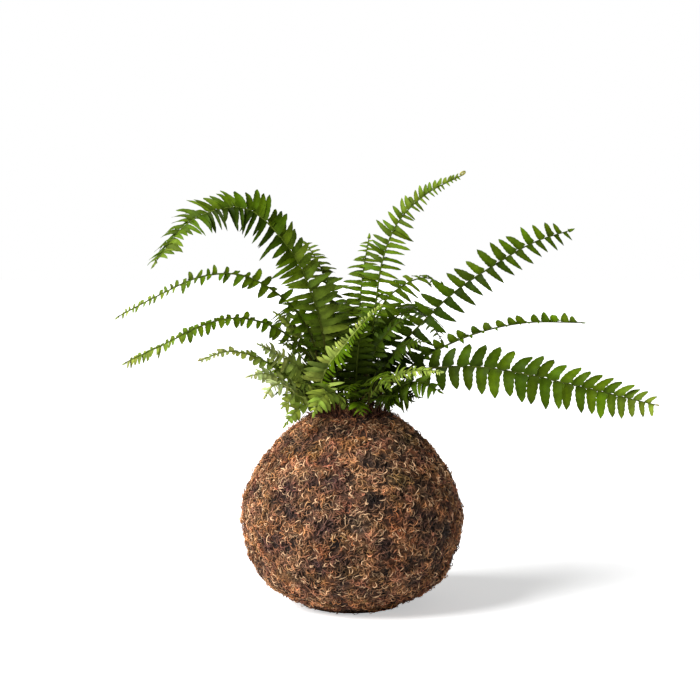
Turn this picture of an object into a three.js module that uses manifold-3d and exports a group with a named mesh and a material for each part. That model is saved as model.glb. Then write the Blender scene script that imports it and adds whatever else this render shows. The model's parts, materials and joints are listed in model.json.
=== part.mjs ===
// A kokedama: a young sword fern that grows from a ball of soil wrapped in brown fibre.
//
// The ball is three solids, one inside the other: the soil ball, the fibre wrap that bends all round it
// and leaves a mouth at the top, and the fern's crown, a low brown dome that fills the mouth. Every frond
// is a solid of its own and stands in a plain hole in the crown. A frond is one closed body: a tapering
// three-sided rib with its leaflets grown straight out of the rib's sides, left and right in turn.
//
// Millimetres, +Z up, +X to the right, +Y to the back. The origin is the middle of the flat spot that the
// ball rests on.

import * as THREE from "three";
import { mergeVertices } from "three/addons/utils/BufferGeometryUtils.js";
import Module from "manifold-3d";

const wasm = await Module();
wasm.setup();

// ---- Driving sizes ------------------------------------------------------------------------------------

const GAP = 0.3; // clearance between solids that touch on the real plant

// The ball's outline, from the edge of the flat spot to the rim of the mouth: radius, height.
const BALL_OUTLINE = [
  [33, 0],
  [54, 11],
  [69, 26],
  [79.5, 61],
  [72.5, 92],
  [54, 118],
  [36, 134],
  [29.5, 138],
];
const RING_STEPS = 28; // facets round the ball
const OUTLINE_STEPS = 12; // facets up its side
const HOLLOW_STEPS = 6; // facets up the side of the hollow and of the soil ball
const LUMP_HEIGHT = 1.2; // relief of the packed fibre
const WRAP_THICKNESS = 9;

const CROWN_RADIUS = 28;
const CROWN_FLOOR = 125; // top of the soil ball
const CROWN_EDGE = 136.5; // the crown's height at the rim of the mouth
const CROWN_TOP = 141; // its height in the middle
const CROWN_STEPS = 20;

const STALK_FOOT = 129; // height at which every stalk ends, inside the crown
const STALK_FREE = 143; // stalks are straight and upright up to this height
const RIB_FOOT = 1.15; // the rib's three corners lie this far from its centre line at the foot
const RIB_TIP = 0.5; // and this far at the tip

const BLADE_HALF = 0.33; // half a leaflet's thickness
const LEAF_WIDTH = 0.82; // a leaflet's width as a share of the distance to the next one
const SHORTEST = 3.5; // no leaflet is shorter than this
const HOOK = 0.2; // how far its tip bends towards the frond's tip, as a share of its width
const WIDEST_AT = 0.5; // where along its length a leaflet is widest
const BLUNT_FROM = 18; // fronds whose leaflets are this long have a blunt end on each of them, not a point
const BLUNT_WIDTH = 0.45; // the blunt end's width as a share of the leaflet's
const TIP_SHARE = 0.12; // the last leaflets' length as a share of the longest one's
const TIP_CROWDING = 0.55; // how much closer the leaflets stand at the tip than at the foot
const SLIMMEST = 2; // no leaflet is narrower than this in its middle
const HANG = 0.12; // how far leaflets give way to their own weight

const CLEARANCE = 2.2; // closest that the middle planes of two fronds' leaflets may come
const SAMPLE = 1.5; // spacing of the points that the clearance is measured at

// ---- The fronds ---------------------------------------------------------------------------------------

// foot: where the stalk stands in the crown. heading: the compass direction of the frond's own upright
// plane, in degrees from +X towards +Y. route: the rib's line in that plane, as [reach from the foot,
// height]. roll: how far the blade is turned about the rib, at the foot and at the tip. leaf: the longest
// leaflet. count: how many of them. bare: the share of the rib without leaflets. taper: how late the
// leaflets grow short, from 1 for all along to 7 for only at the tip. tip: the last one's length as a
// share. lift: how far leaflets are raised from the blade's plane. crowd: how much closer they stand at
// the tip than at the foot. up and down: for the leaflets on the upper and on the lower side of the rib,
// how far they lean towards the frond's tip, at the foot and at the tip, then their width as a share of
// their length, and then their sizes, one for all or several in turn from foot to tip.
const FRONDS = {
  left_arch: {
    foot: [-10, 1], heading: 178, roll: [-80, -45], leaf: 20, count: 46, bare: 0.1, taper: 4, tip: 0.4, tone: "leaf",
    up: [5, 45, 0.95, 1, 0.95, 0.9, 0.85, 0.95, 0.95, 0.9], down: [30, -40, 0.95, 1, 1, 1, 0.8, 1, 0.9],
    route: [[8, 180], [16, 216], [34, 255], [66, 285], [104, 277], [131, 247]],
  },
  left_upper: {
    foot: [-17, -2], heading: 186, roll: [-60, -50], leaf: 12, count: 40, bare: 0.12, taper: 1, tip: 0.27, crowd: 1.1, tone: "leaf",
    up: [-8, -30, 0.6, 1.05], down: [5, 35, 0.8, 0.9],
    route: [[6, 172], [16, 202], [34, 223], [62, 238], [90, 237], [118, 225], [149, 209]],
  },
  left_middle: {
    foot: [-17, -8], heading: 196, roll: [-60, -40], leaf: 11, count: 38, bare: 0.12, taper: 1.2, tip: 0.45, crowd: 1.3, tone: "leaf",
    up: [-8, -30, 0.9, 0.5, 0.5, 0.55, 0.62, 0.62], down: [0, 30, 0.76, 0.6, 0.6, 0.7, 0.9, 1, 1],
    route: [[6, 166], [19, 186], [36, 200], [60, 208], [84, 206], [118, 191], [145, 179]],
  },
  left_small: {
    foot: [-25, -4.5], heading: 200, roll: [-50, -50], leaf: 8.5, count: 22, bare: 0.12, taper: 1.1, tip: 0.4, crowd: 1.1, tone: "young",
    up: [10, 20, 0.95, 1.1, 0.9, 0.7, 0.7], down: [10, 20, 0.95, 1.1, 0.9, 0.7, 0.6],
    route: [[6, 153], [20, 164], [44, 180], [66, 185], [87, 179]],
  },
  left_tiny: {
    foot: [-23.5, -10], heading: 212, roll: [-50, -40], leaf: 9, count: 16, bare: 0.12, taper: 5, tone: "young",
    up: [15, 20, 0.95, 1], down: [15, 20, 0.95, 1],
    route: [[7, 151], [18, 157], [30, 164], [44, 170], [57, 169]],
  },
  left_curl: {
    foot: [-20.5, -15], heading: 225, roll: [-45, -30], leaf: 10, count: 16, bare: 0.12, taper: 7, tone: "young",
    up: [15, 20, 0.95, 1], down: [15, 20, 0.95, 1],
    route: [[6, 150], [22, 154], [34, 161], [46, 164], [55, 157]],
  },
  left_front: {
    foot: [-21, -5.5], heading: 208, roll: [-50, -50], leaf: 13, count: 18, bare: 0.25, taper: 4, tone: "young",
    up: [15, 20, 0.95, 1], down: [15, 20, 0.95, 1],
    route: [[3, 157], [13, 168], [25, 177], [37, 183], [49, 190]],
  },
  left_low: {
    foot: [-25.5, 2], heading: 190, roll: [-45, -45], leaf: 10, count: 8, bare: 0.2, taper: 4, tone: "leaf",
    up: [15, 20, 0.95, 1], down: [15, 20, 0.95, 1],
    route: [[5, 149], [13, 151], [24, 144]],
  },
  left_hang: {
    foot: [-12.5, -23], heading: 206, roll: [-40, -30], leaf: 10, count: 12, bare: 0.2, taper: 3, tone: "young",
    up: [15, 20, 0.95, 1], down: [15, 20, 0.95, 1],
    route: [[4, 146], [14, 149], [27, 146], [38, 135]],
  },
  front_rise: {
    foot: [-17, -19], heading: 319, roll: [110, 85], leaf: 21, count: 30, bare: 0.08, taper: 3, tip: 0.5, lift: 20, crowd: 0.5, tone: "young",
    up: [0, 30, 0.5, 0.4, 0.8, 0.95, 0.8, 0.4, 0.28, 0.26, 0.24, 0.22, 0.22], down: [-10, 30, 0.56, 0.25, 0.4, 0.3, 0.5, 0.6, 0.5, 0.35, 0.26, 0.22, 0.22],
    route: [[-3, 153], [-6, 162], [0, 174], [10, 184], [23, 197], [40, 212], [50, 219]],
  },
  front_left: {
    foot: [-8, -24], heading: 238, roll: [-30, -30], leaf: 14, count: 12, bare: 0.12, taper: 3, tone: "young",
    up: [15, 20, 0.95, 1], down: [15, 20, 0.95, 1],
    route: [[3, 152], [12, 157], [24, 155], [34, 145]],
  },
  front_right: {
    foot: [10, -15], heading: 325, roll: [45, 45], leaf: 11.5, count: 24, bare: 0.12, taper: 2, tone: "young",
    up: [30, 35, 0.69, 1], down: [20, 35, 0.69, 1],
    route: [[4, 152], [14, 162], [30, 170], [46, 173], [62, 173]],
  },
  front_toward: {
    foot: [11, -21], heading: 288, roll: [20, 20], leaf: 12, count: 14, bare: 0.15, taper: 2.5, tone: "young",
    up: [15, 25, 0.5, 1], down: [15, 25, 0.5, 1],
    route: [[3, 153], [12, 164], [26, 170], [40, 168], [48, 163]],
  },
  front_tiny: {
    foot: [1, -25], heading: 285, roll: [0, 0], leaf: 10, count: 8, bare: 0.15, taper: 4, tone: "young",
    up: [15, 25, 0.57, 1], down: [15, 25, 0.57, 1],
    route: [[4, 148], [12, 150], [22, 144]],
  },
  right_low: {
    foot: [24, -8], heading: 345, roll: [40, 40], leaf: 12, count: 8, bare: 0.2, taper: 4, tone: "leaf",
    up: [15, 25, 0.48, 1], down: [15, 25, 0.48, 1],
    route: [[4, 148], [10, 151], [19, 149]],
  },
  right_under: {
    foot: [20, -15], heading: 333, roll: [50, 50], leaf: 13, count: 14, bare: 0.15, taper: 3, tone: "leaf",
    up: [10, 20, 0.62, 1.1], down: [-5, 10, 0.68, 1.2],
    route: [[5, 151], [16, 160], [32, 164], [46, 158]],
  },
  right_big: {
    foot: [17, -7], heading: 352, roll: [70, 75], leaf: 20, count: 44, bare: 0.08, taper: 5, tip: 0.2, tone: "leaf",
    up: [6, 36, 0.48, 0.9, 0.95, 0.95, 0.95], down: [-8, 18, 0.48, 0.6, 0.7, 0.85, 1, 1, 1, 1, 1],
    route: [[6, 157], [24, 169], [50, 173], [76, 173], [109, 168], [150, 159], [198, 148]],
  },
  right_middle: {
    foot: [18, 1], heading: 4, roll: [45, 40], leaf: 9.5, count: 34, bare: 0.12, taper: 5, tip: 0.6, lift: 30, tone: "leaf",
    up: [-10, -14, 0.8, 1.3, 1.1, 0.9, 0.75, 0.85, 1, 0.8], down: [0, 10, 0.75, 1, 0.6, 0.1, 0.1, 0.1, 0.1],
    route: [[6, 158], [22, 170], [42, 183], [73, 196], [107, 203], [149, 203]],
  },
  right_upper: {
    foot: [15, 7], heading: 12, roll: [65, 70], leaf: 17, count: 42, bare: 0.1, taper: 7, tip: 0.5, tone: "leaf",
    up: [-8, -8, 0.39, 0.9, 1, 1.05, 1.05, 1, 1, 0.9], down: [6, 25, 0.39, 1.1, 1.05, 0.85, 0.75, 0.7, 0.65],
    route: [[5, 165], [18, 184], [34, 200], [60, 224], [94, 246], [122, 261], [148, 269]],
  },
  right_back: {
    foot: [7, 8], heading: 40, roll: [30, 20], leaf: 16, count: 28, bare: 0.12, taper: 3, tip: 0.3, tone: "leaf",
    up: [0, 10, 0.43, 1], down: [0, 10, 0.43, 1],
    route: [[5, 175], [20, 215], [36, 227], [62, 234], [92, 223]],
  },
  tall_right: {
    foot: [9, 2], heading: 8, roll: [75, 60], leaf: 16, count: 44, bare: 0.1, taper: 4, tip: 0.5, crowd: 0.8, tone: "leaf",
    up: [0, 35, 0.87, 0.8, 0.95, 1.1, 1.05, 0.75, 0.55, 0.5], down: [-5, 20, 0.52, 0.7, 0.8, 1, 1.2, 0.6, 0.35, 0.25],
    route: [[3, 175], [8, 215], [13, 248], [24, 275], [44, 295], [71, 309]],
  },
  tall_back: {
    foot: [1, 9], heading: 70, roll: [0, 10], leaf: 16, count: 32, bare: 0.12, taper: 3, tip: 0.3, tone: "leaf",
    up: [0, 10, 0.46, 1], down: [0, 10, 0.46, 1],
    route: [[4, 175], [12, 208], [20, 236], [34, 264]],
  },
  tall_left: {
    foot: [-6, 7], heading: 128, roll: [0, -20], leaf: 18, count: 32, bare: 0.12, taper: 3, tip: 0.3, tone: "leaf",
    up: [0, 10, 0.46, 1], down: [0, 10, 0.46, 1],
    route: [[5, 175], [14, 213], [28, 243], [46, 260]],
  },
  inner_front: {
    foot: [2, -8], heading: 290, roll: [0, 0], leaf: 15, count: 18, bare: 0.12, taper: 3, tone: "leaf",
    up: [8, 20, 0.51, 1], down: [8, 20, 0.51, 1],
    route: [[3, 165], [8, 187], [17, 206]],
  },
  inner_left: {
    foot: [-5, -7], heading: 195, roll: [0, 0], leaf: 14, count: 16, bare: 0.12, taper: 3, tone: "leaf",
    up: [8, 20, 0.51, 1], down: [8, 20, 0.51, 1],
    route: [[3, 160], [9, 176], [19, 189]],
  },
  inner_right: {
    foot: [9, -4], heading: 340, roll: [40, 40], leaf: 15, count: 18, bare: 0.12, taper: 3, tone: "leaf",
    up: [8, 20, 0.51, 1], down: [8, 20, 0.51, 1],
    route: [[3, 165], [9, 185], [19, 199], [31, 208]],
  },
  back_right: {
    foot: [9, 15], heading: 60, roll: [10, 0], leaf: 19, count: 32, bare: 0.12, taper: 4, tone: "leaf",
    up: [10, 25, 0.45, 1], down: [10, 25, 0.45, 1],
    route: [[5, 165], [22, 192], [56, 212], [94, 203], [124, 182]],
  },
  back_long: {
    foot: [-1, 18], heading: 93, roll: [0, 0], leaf: 19, count: 34, bare: 0.12, taper: 4, tone: "leaf",
    up: [10, 25, 0.45, 1], down: [10, 25, 0.45, 1],
    route: [[5, 165], [24, 195], [62, 215], [106, 203], [140, 176]],
  },
  back_left: {
    foot: [-9, 15], heading: 118, roll: [-10, 0], leaf: 18, count: 30, bare: 0.12, taper: 4, tone: "leaf",
    up: [10, 25, 0.45, 1], down: [10, 25, 0.45, 1],
    route: [[5, 165], [22, 192], [52, 212], [84, 206], [110, 188]],
  },
  back_low_left: {
    foot: [-21, 12], heading: 152, roll: [0, 0], leaf: 12, count: 14, bare: 0.15, taper: 3, tone: "young",
    up: [10, 25, 0.45, 1], down: [10, 25, 0.45, 1],
    route: [[5, 151], [18, 162], [38, 167], [54, 160]],
  },
  back_low_right: {
    foot: [20, 14], heading: 35, roll: [0, 0], leaf: 12, count: 14, bare: 0.15, taper: 3, tone: "leaf",
    up: [10, 25, 0.45, 1], down: [10, 25, 0.45, 1],
    route: [[5, 151], [18, 162], [40, 168], [58, 160]],
  },
  back_low: {
    foot: [-4, 24], heading: 100, roll: [0, 0], leaf: 11, count: 14, bare: 0.15, taper: 3, tone: "young",
    up: [10, 25, 0.45, 1], down: [10, 25, 0.45, 1],
    route: [[5, 150], [16, 158], [34, 160], [48, 151]],
  },
};

const MATERIALS = {
  fibre: new THREE.MeshStandardMaterial({ color: 0x8a5c3a, roughness: 0.95, metalness: 0 }),
  soil: new THREE.MeshStandardMaterial({ color: 0x3a2a1f, roughness: 1, metalness: 0 }),
  crown: new THREE.MeshStandardMaterial({ color: 0x4a3020, roughness: 0.95, metalness: 0 }),
  leaf: new THREE.MeshStandardMaterial({ color: 0x4a7a1e, roughness: 0.5, metalness: 0 }),
  young: new THREE.MeshStandardMaterial({ color: 0x86ab4c, roughness: 0.5, metalness: 0 }),
};

// ---- Helpers ------------------------------------------------------------------------------------------

const radians = THREE.MathUtils.degToRad;
const mix = THREE.MathUtils.lerp;
const UP = new THREE.Vector3(0, 0, 1);

// A repeatable value from -1 to 1 for the numbers a, b and c.
function wobble(a, b, c) {
  const value = Math.sin(a * 12.9898 + b * 78.233 + c * 37.719) * 43758.5453;
  return 2 * (value - Math.floor(value)) - 1;
}

// A closed geometry as a solid that can be joined and cut.
function solidOf(geometry) {
  const bare = geometry.clone();
  bare.deleteAttribute("normal");
  bare.deleteAttribute("uv");
  const merged = mergeVertices(bare, 1e-3);
  return new wasm.Manifold(new wasm.Mesh({
    numProp: 3,
    vertProperties: new Float32Array(merged.attributes.position.array),
    triVerts: new Uint32Array(merged.index.array),
  }));
}

// A solid as a geometry with flat facets.
function geometryOf(solid) {
  const mesh = solid.getMesh();
  const geometry = new THREE.BufferGeometry();
  geometry.setAttribute("position", new THREE.BufferAttribute(new Float32Array(mesh.vertProperties), 3));
  geometry.setIndex(new THREE.BufferAttribute(new Uint32Array(mesh.triVerts), 1));
  const facets = geometry.toNonIndexed();
  facets.computeVertexNormals();
  return facets;
}

function piece(name, geometry, material) {
  const mesh = new THREE.Mesh(geometry, material);
  mesh.name = name;
  return mesh;
}

// A profile of [radius, height] points turned about Z. It starts and ends on the axis.
function turned(profile, steps) {
  const geometry = new THREE.LatheGeometry(profile.map(([r, z]) => new THREE.Vector2(r, z)), steps);
  return geometry.rotateX(Math.PI / 2);
}

// ---- The ball -----------------------------------------------------------------------------------------

const ballCurve = new THREE.SplineCurve(BALL_OUTLINE.map(([r, z]) => new THREE.Vector2(r, z)));
const ballOutline = ballCurve.getSpacedPoints(OUTLINE_STEPS).map((p) => [p.x, p.y]);

// The ball's radius at a height.
function ballRadius(height) {
  const above = ballOutline.findIndex(([, z]) => z >= height);
  if (above <= 0) return above === 0 ? ballOutline[0][0] : ballOutline.at(-1)[0];
  const [r0, z0] = ballOutline[above - 1];
  const [r1, z1] = ballOutline[above];
  return mix(r0, r1, (height - z0) / (z1 - z0));
}

// The outline moved inwards by depth, from the bottom of the hollow up to where it meets the ceiling height.
function insetOutline(depth, steps, ceiling) {
  const points = ballCurve.getSpacedPoints(steps * 4);
  const inset = points.map((p, i) => {
    const along = ballCurve.getTangent(i / (points.length - 1));
    return [p.x - along.y * depth, p.y + along.x * depth];
  });
  const inside = inset.filter(([, z]) => z > depth + 2 && z < ceiling - 4);
  const kept = inside.filter((_, i) => i % 4 === 0 || i === inside.length - 1);
  const [r, z] = kept.at(-1);
  const slope = 1.25; // how fast the shoulder closes in on the ceiling
  return [[BALL_OUTLINE[0][0] - 4, depth], ...kept, [r - (ceiling - z) * slope, ceiling]];
}

// Packed fibre is lumpy, apart from the flat spot and the rim.
function roughen(geometry, lowest, highest) {
  const place = geometry.attributes.position;
  for (let i = 0; i < place.count; i++) {
    const [x, y, z] = [place.getX(i), place.getY(i), place.getZ(i)];
    const radius = Math.hypot(x, y);
    if (radius < ballRadius(z) - 1 || z < lowest || z > highest) continue;
    const turn = Math.atan2(y, x);
    const fade = Math.sin((Math.PI * (z - lowest)) / (highest - lowest)) ** 0.5;
    const waves = Math.sin(5 * turn + z / 9) + Math.sin(9 * turn - z / 6) * Math.cos(z / 11) + Math.sin(z / 7 + 3 * turn);
    const grow = 1 + (LUMP_HEIGHT * fade * waves) / 3 / radius;
    place.setXY(i, x * grow, y * grow);
  }
  return geometry;
}

function fibreWrap() {
  const hollow = insetOutline(WRAP_THICKNESS, HOLLOW_STEPS, CROWN_FLOOR + GAP).reverse();
  const profile = [
    [0, 0],
    ...ballOutline,
    [CROWN_RADIUS + GAP, ballOutline.at(-1)[1] - 0.5],
    [CROWN_RADIUS + GAP, CROWN_FLOOR + GAP],
    ...hollow,
    [0, WRAP_THICKNESS],
  ];
  return roughen(turned(profile, RING_STEPS), 6, 134);
}

function soilBall() {
  const outline = insetOutline(WRAP_THICKNESS + GAP, HOLLOW_STEPS, CROWN_FLOOR);
  const profile = [[0, outline[0][1]], ...outline, [0, CROWN_FLOOR]];
  // Its facets stay inside the wrap's: the same number of steps, so that the corners line up.
  return turned(profile, RING_STEPS);
}

// The dome that fills the mouth, with a hole for every stalk.
function crown() {
  const profile = [
    [0, CROWN_FLOOR + GAP],
    [CROWN_RADIUS, CROWN_FLOOR + GAP],
    [CROWN_RADIUS, CROWN_EDGE],
    [CROWN_RADIUS * 0.6, mix(CROWN_EDGE, CROWN_TOP, 0.75)],
    [0, CROWN_TOP],
  ];
  let dome = solidOf(turned(profile, CROWN_STEPS));
  // A three-sided hole's walls lie half as far from its centre as its corners do.
  const depth = 2 * (CROWN_TOP - STALK_FOOT + GAP);
  const hole = new THREE.CylinderGeometry(RIB_FOOT + 2 * GAP, RIB_FOOT + 2 * GAP, depth, 3).rotateX(Math.PI / 2);
  for (const { foot, heading, roll } of Object.values(FRONDS)) {
    const cut = hole.clone()
      .rotateZ(radians(heading + roll[0] + 90)) // from the prism's own first corner, at -Y, to the keel
      .translate(foot[0], foot[1], STALK_FOOT - GAP + depth / 2);
    dome = dome.subtract(solidOf(cut));
  }
  return geometryOf(dome);
}

// ---- A frond's line -----------------------------------------------------------------------------------

// The rib's centre line, with the frame of the blade at any point: along the rib, across it, and the
// upper side's normal.
class Rib {
  constructor({ foot, heading, route, roll }) {
    const turn = radians(heading);
    this.out = new THREE.Vector3(Math.cos(turn), Math.sin(turn), 0);
    this.across = new THREE.Vector3(-Math.sin(turn), Math.cos(turn), 0);
    this.roll = roll;
    const at = (reach, height) => new THREE.Vector3(foot[0], foot[1], height).addScaledVector(this.out, reach);
    this.curve = new THREE.CatmullRomCurve3(
      [at(0, STALK_FREE), ...route.map(([reach, height]) => at(reach, height))], false, "centripetal");
    this.foot = foot;
    this.length = this.curve.getLength();
  }

  frame(share) {
    return this.turnedFrame(this.curve.getPointAt(share), this.curve.getTangentAt(share), share);
  }

  // The frame at a height of the stalk's upright stretch.
  upright(height) {
    return this.turnedFrame(new THREE.Vector3(...this.foot, height), UP, 0);
  }

  turnedFrame(centre, along, share) {
    const angle = radians(mix(this.roll[0], this.roll[1], share));
    const across = this.across.clone().multiplyScalar(Math.cos(angle))
      .addScaledVector(along.clone().cross(this.across), Math.sin(angle));
    return { centre, along, across, normal: along.clone().cross(across) };
  }
}

// The distance of the rib's corners from its centre line at a share of its length.
const ribSize = (share) => mix(RIB_FOOT, RIB_TIP, share);

// The rib's share at step i of n, with the steps closing up towards the tip.
function stationShare(i, n, bare, crowd) {
  const t = i / n;
  return bare + (1 - bare) * (t + (crowd / 2) * (t - t * t)) * 0.985;
}

// How long the leaflets are at a share of the leafy part.
function leafLength(t, taper, tip) {
  const opening = mix(0.55, 1, Math.min(1, t / 0.18));
  return opening * (1 - t ** taper * (1 - tip));
}

// The value at a share of the way through a row of evenly spaced ones.
function valueAt(values, share) {
  const at = share * (values.length - 1);
  const before = Math.min(Math.floor(at), values.length - 1);
  return mix(values[before], values[Math.min(before + 1, values.length - 1)], at - before);
}

// ---- Room between the fronds --------------------------------------------------------------------------

// The points that fronds already fill, in a grid of cells as wide as the clearance.
const taken = new Map();
const cellOf = (v) => Math.floor(v / CLEARANCE);

function claim(points, owner) {
  for (const p of points) {
    const key = `${cellOf(p.x)},${cellOf(p.y)},${cellOf(p.z)}`;
    if (!taken.has(key)) taken.set(key, []);
    taken.get(key).push({ p, owner });
  }
}

function isFree(points, owner) {
  for (const p of points) {
    if (p.z < CROWN_TOP + 1.5 && Math.hypot(p.x, p.y) < ballRadius(p.z) + CLEARANCE) return false;
    for (let i = -1; i <= 1; i++)
      for (let j = -1; j <= 1; j++)
        for (let k = -1; k <= 1; k++) {
          const near = taken.get(`${cellOf(p.x) + i},${cellOf(p.y) + j},${cellOf(p.z) + k}`);
          if (near?.some((q) => q.owner !== owner && q.p.distanceTo(p) < CLEARANCE)) return false;
        }
  }
  return true;
}

// ---- Leaflets -----------------------------------------------------------------------------------------

// The way a leaflet points: out from its side of the rib, tilted off the blade and swept to the tip.
function leafDirection({ along, across, normal }, side, sweep, tilt) {
  return across.clone().multiplyScalar(side * Math.cos(radians(tilt)))
    .addScaledVector(normal, Math.sin(radians(tilt)))
    .multiplyScalar(Math.cos(radians(sweep)))
    .addScaledVector(along, Math.sin(radians(sweep)))
    .addScaledVector(UP, -HANG).normalize();
}

// One leaflet as its middle plane. Its width lies along the rib, so that neighbours never meet.
function leafShape(frame, side, { length, width, sweep, blunt }, tilt) {
  const direction = leafDirection(frame, side, sweep, tilt);
  const face = frame.along.clone().cross(direction).multiplyScalar(side).normalize();
  const middle = frame.centre.clone().addScaledVector(direction, length * WIDEST_AT);
  const tip = frame.centre.clone().addScaledVector(direction, length)
    .addScaledVector(frame.along, width * HOOK).addScaledVector(UP, -HANG * length * 0.3);
  return { root: frame.centre, middle, tip, wide: frame.along, face, half: width / 2, end: (blunt * width) / 2 };
}

// Points all over a leaflet, close enough together that nothing passes between them.
function leafSamples({ root, middle, tip, wide, half, end }) {
  const points = [];
  const run = (from, to, halfFrom, halfTo) => {
    const steps = Math.max(1, Math.ceil(from.distanceTo(to) / SAMPLE));
    for (let i = 1; i <= steps; i++) {
      const centre = from.clone().lerp(to, i / steps);
      const reach = mix(halfFrom, halfTo, i / steps);
      const sides = Math.ceil(reach / SAMPLE);
      for (let j = -sides; j <= sides; j++)
        points.push(centre.clone().addScaledVector(wide, sides ? (reach * j) / sides : 0));
    }
  };
  run(root, middle, half * 0.6, half);
  run(middle, tip, half, end);
  return points;
}

// The leaflet nearest to the wished one that clears the other fronds: tilted, and then shortened.
const TILTS = [0, 22, -22, 40, -40];
const SHARES = [1, 0.72, 0.5];

function fittedLeaf(owner, frame, side, wished, lift) {
  for (const share of SHARES)
    for (const tilt of TILTS) {
      const size = { ...wished, length: wished.length * share, width: wished.width * mix(1, share, 0.5) };
      const shape = leafShape(frame, side, size, lift + tilt);
      const points = leafSamples(shape);
      if (isFree(points, owner)) {
        claim(points, owner);
        return shape;
      }
    }
  return null;
}

// ---- A frond as one closed mesh -----------------------------------------------------------------------

class MeshBuilder {
  constructor() {
    this.places = [];
    this.faces = [];
  }
  point(v) {
    return this.places.push(v.x, v.y, v.z) / 3 - 1;
  }
  // A four-cornered face, always cut along its first corner.
  quad(a, b, c, d) {
    this.faces.push(a, b, c, a, c, d);
  }
  triangle(a, b, c) {
    this.faces.push(a, b, c);
  }
  geometry() {
    const geometry = new THREE.BufferGeometry();
    geometry.setAttribute("position", new THREE.Float32BufferAttribute(this.places, 3));
    geometry.setIndex(this.faces);
    return geometry;
  }
}

// The rib's section: the edges on the two sides of its flat top, and its keel.
function ribSection(mesh, { centre, across, normal }, size) {
  const corner = (sideways, up) =>
    mesh.point(centre.clone().addScaledVector(across, sideways * size).addScaledVector(normal, up * size));
  const width = Math.cos(Math.PI / 6);
  return { left: corner(width, 0.5), right: corner(-width, 0.5), keel: corner(0, -1) };
}

// Closes a side of the rib between two sections with a leaflet, or flat where there is none.
function ribSide(mesh, side, near, far, shape) {
  const [nearTop, nearLow] = [side > 0 ? near.left : near.right, near.keel];
  const [farTop, farLow] = [side > 0 ? far.left : far.right, far.keel];
  const put = side > 0 ? (...c) => mesh.quad(...c) : (a, b, c, d) => mesh.quad(a, d, c, b);
  const cap = side > 0 ? (...c) => mesh.triangle(...c) : (a, b, c) => mesh.triangle(a, c, b);
  if (!shape) {
    put(nearTop, farTop, farLow, nearLow);
    return;
  }
  const { middle, tip, wide, face, half, end } = shape;
  const corner = (centre, sideways, up) =>
    mesh.point(centre.clone().addScaledVector(wide, sideways).addScaledVector(face, up * BLADE_HALF));
  const [midNearTop, midNearLow] = [corner(middle, -half, 1), corner(middle, -half, -1)];
  const [midFarTop, midFarLow] = [corner(middle, half, 1), corner(middle, half, -1)];
  const [tipTop, tipLow] = [corner(tip, -end, 1), corner(tip, -end, -1)];
  put(nearTop, farTop, midFarTop, midNearTop);
  put(nearLow, midNearLow, midFarLow, farLow);
  put(nearTop, midNearTop, midNearLow, nearLow);
  put(farTop, farLow, midFarLow, midFarTop);
  put(midNearTop, tipTop, tipLow, midNearLow);
  cap(midNearTop, midFarTop, tipTop);
  cap(midNearLow, tipLow, midFarLow);
  if (!end) {
    put(midFarTop, midFarLow, tipLow, tipTop);
    return;
  }
  const [endTop, endLow] = [corner(tip, end, 1), corner(tip, end, -1)];
  cap(midFarTop, endTop, tipTop);
  cap(midFarLow, tipLow, endLow);
  put(tipTop, endTop, endLow, tipLow);
  put(midFarTop, midFarLow, endLow, endTop);
}

function frond(number, rib, row) {
  const { count, bare, crowd = TIP_CROWDING } = row;
  const mesh = new MeshBuilder();
  const shares = Array.from({ length: count + 1 }, (_, i) => stationShare(i, count, bare, crowd));

  // The upright foot in the crown's hole, the bare stalk, and then a section on each side of every leaflet.
  const sections = [ribSection(mesh, rib.upright(STALK_FOOT), RIB_FOOT)];
  sections.push(ribSection(mesh, rib.upright(STALK_FREE), RIB_FOOT));
  for (const share of [bare / 2, ...shares]) sections.push(ribSection(mesh, rib.frame(share), ribSize(share)));
  const plain = sections.length - shares.length;

  mesh.triangle(sections[0].left, sections[0].keel, sections[0].right);
  for (let i = 0; i + 1 < sections.length; i++) {
    const [near, far] = [sections[i], sections[i + 1]];
    mesh.quad(near.left, near.right, far.right, far.left);
    const step = i - plain;
    const leafSide = step < 0 ? 0 : step % 2 ? -1 : 1;
    for (const side of [1, -1]) {
      const shape = side === leafSide ? leafletAt(number, rib, step, shares, side, row) : null;
      ribSide(mesh, side, near, far, shape);
    }
  }

  // The last leaflet continues the rib.
  const last = sections.at(-1);
  const end = rib.frame(1);
  const tip = mesh.point(end.centre.clone().addScaledVector(end.along, 2.5));
  mesh.triangle(last.left, last.right, tip);
  mesh.triangle(last.right, last.keel, tip);
  mesh.triangle(last.keel, last.left, tip);
  return mesh.geometry();
}

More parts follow.
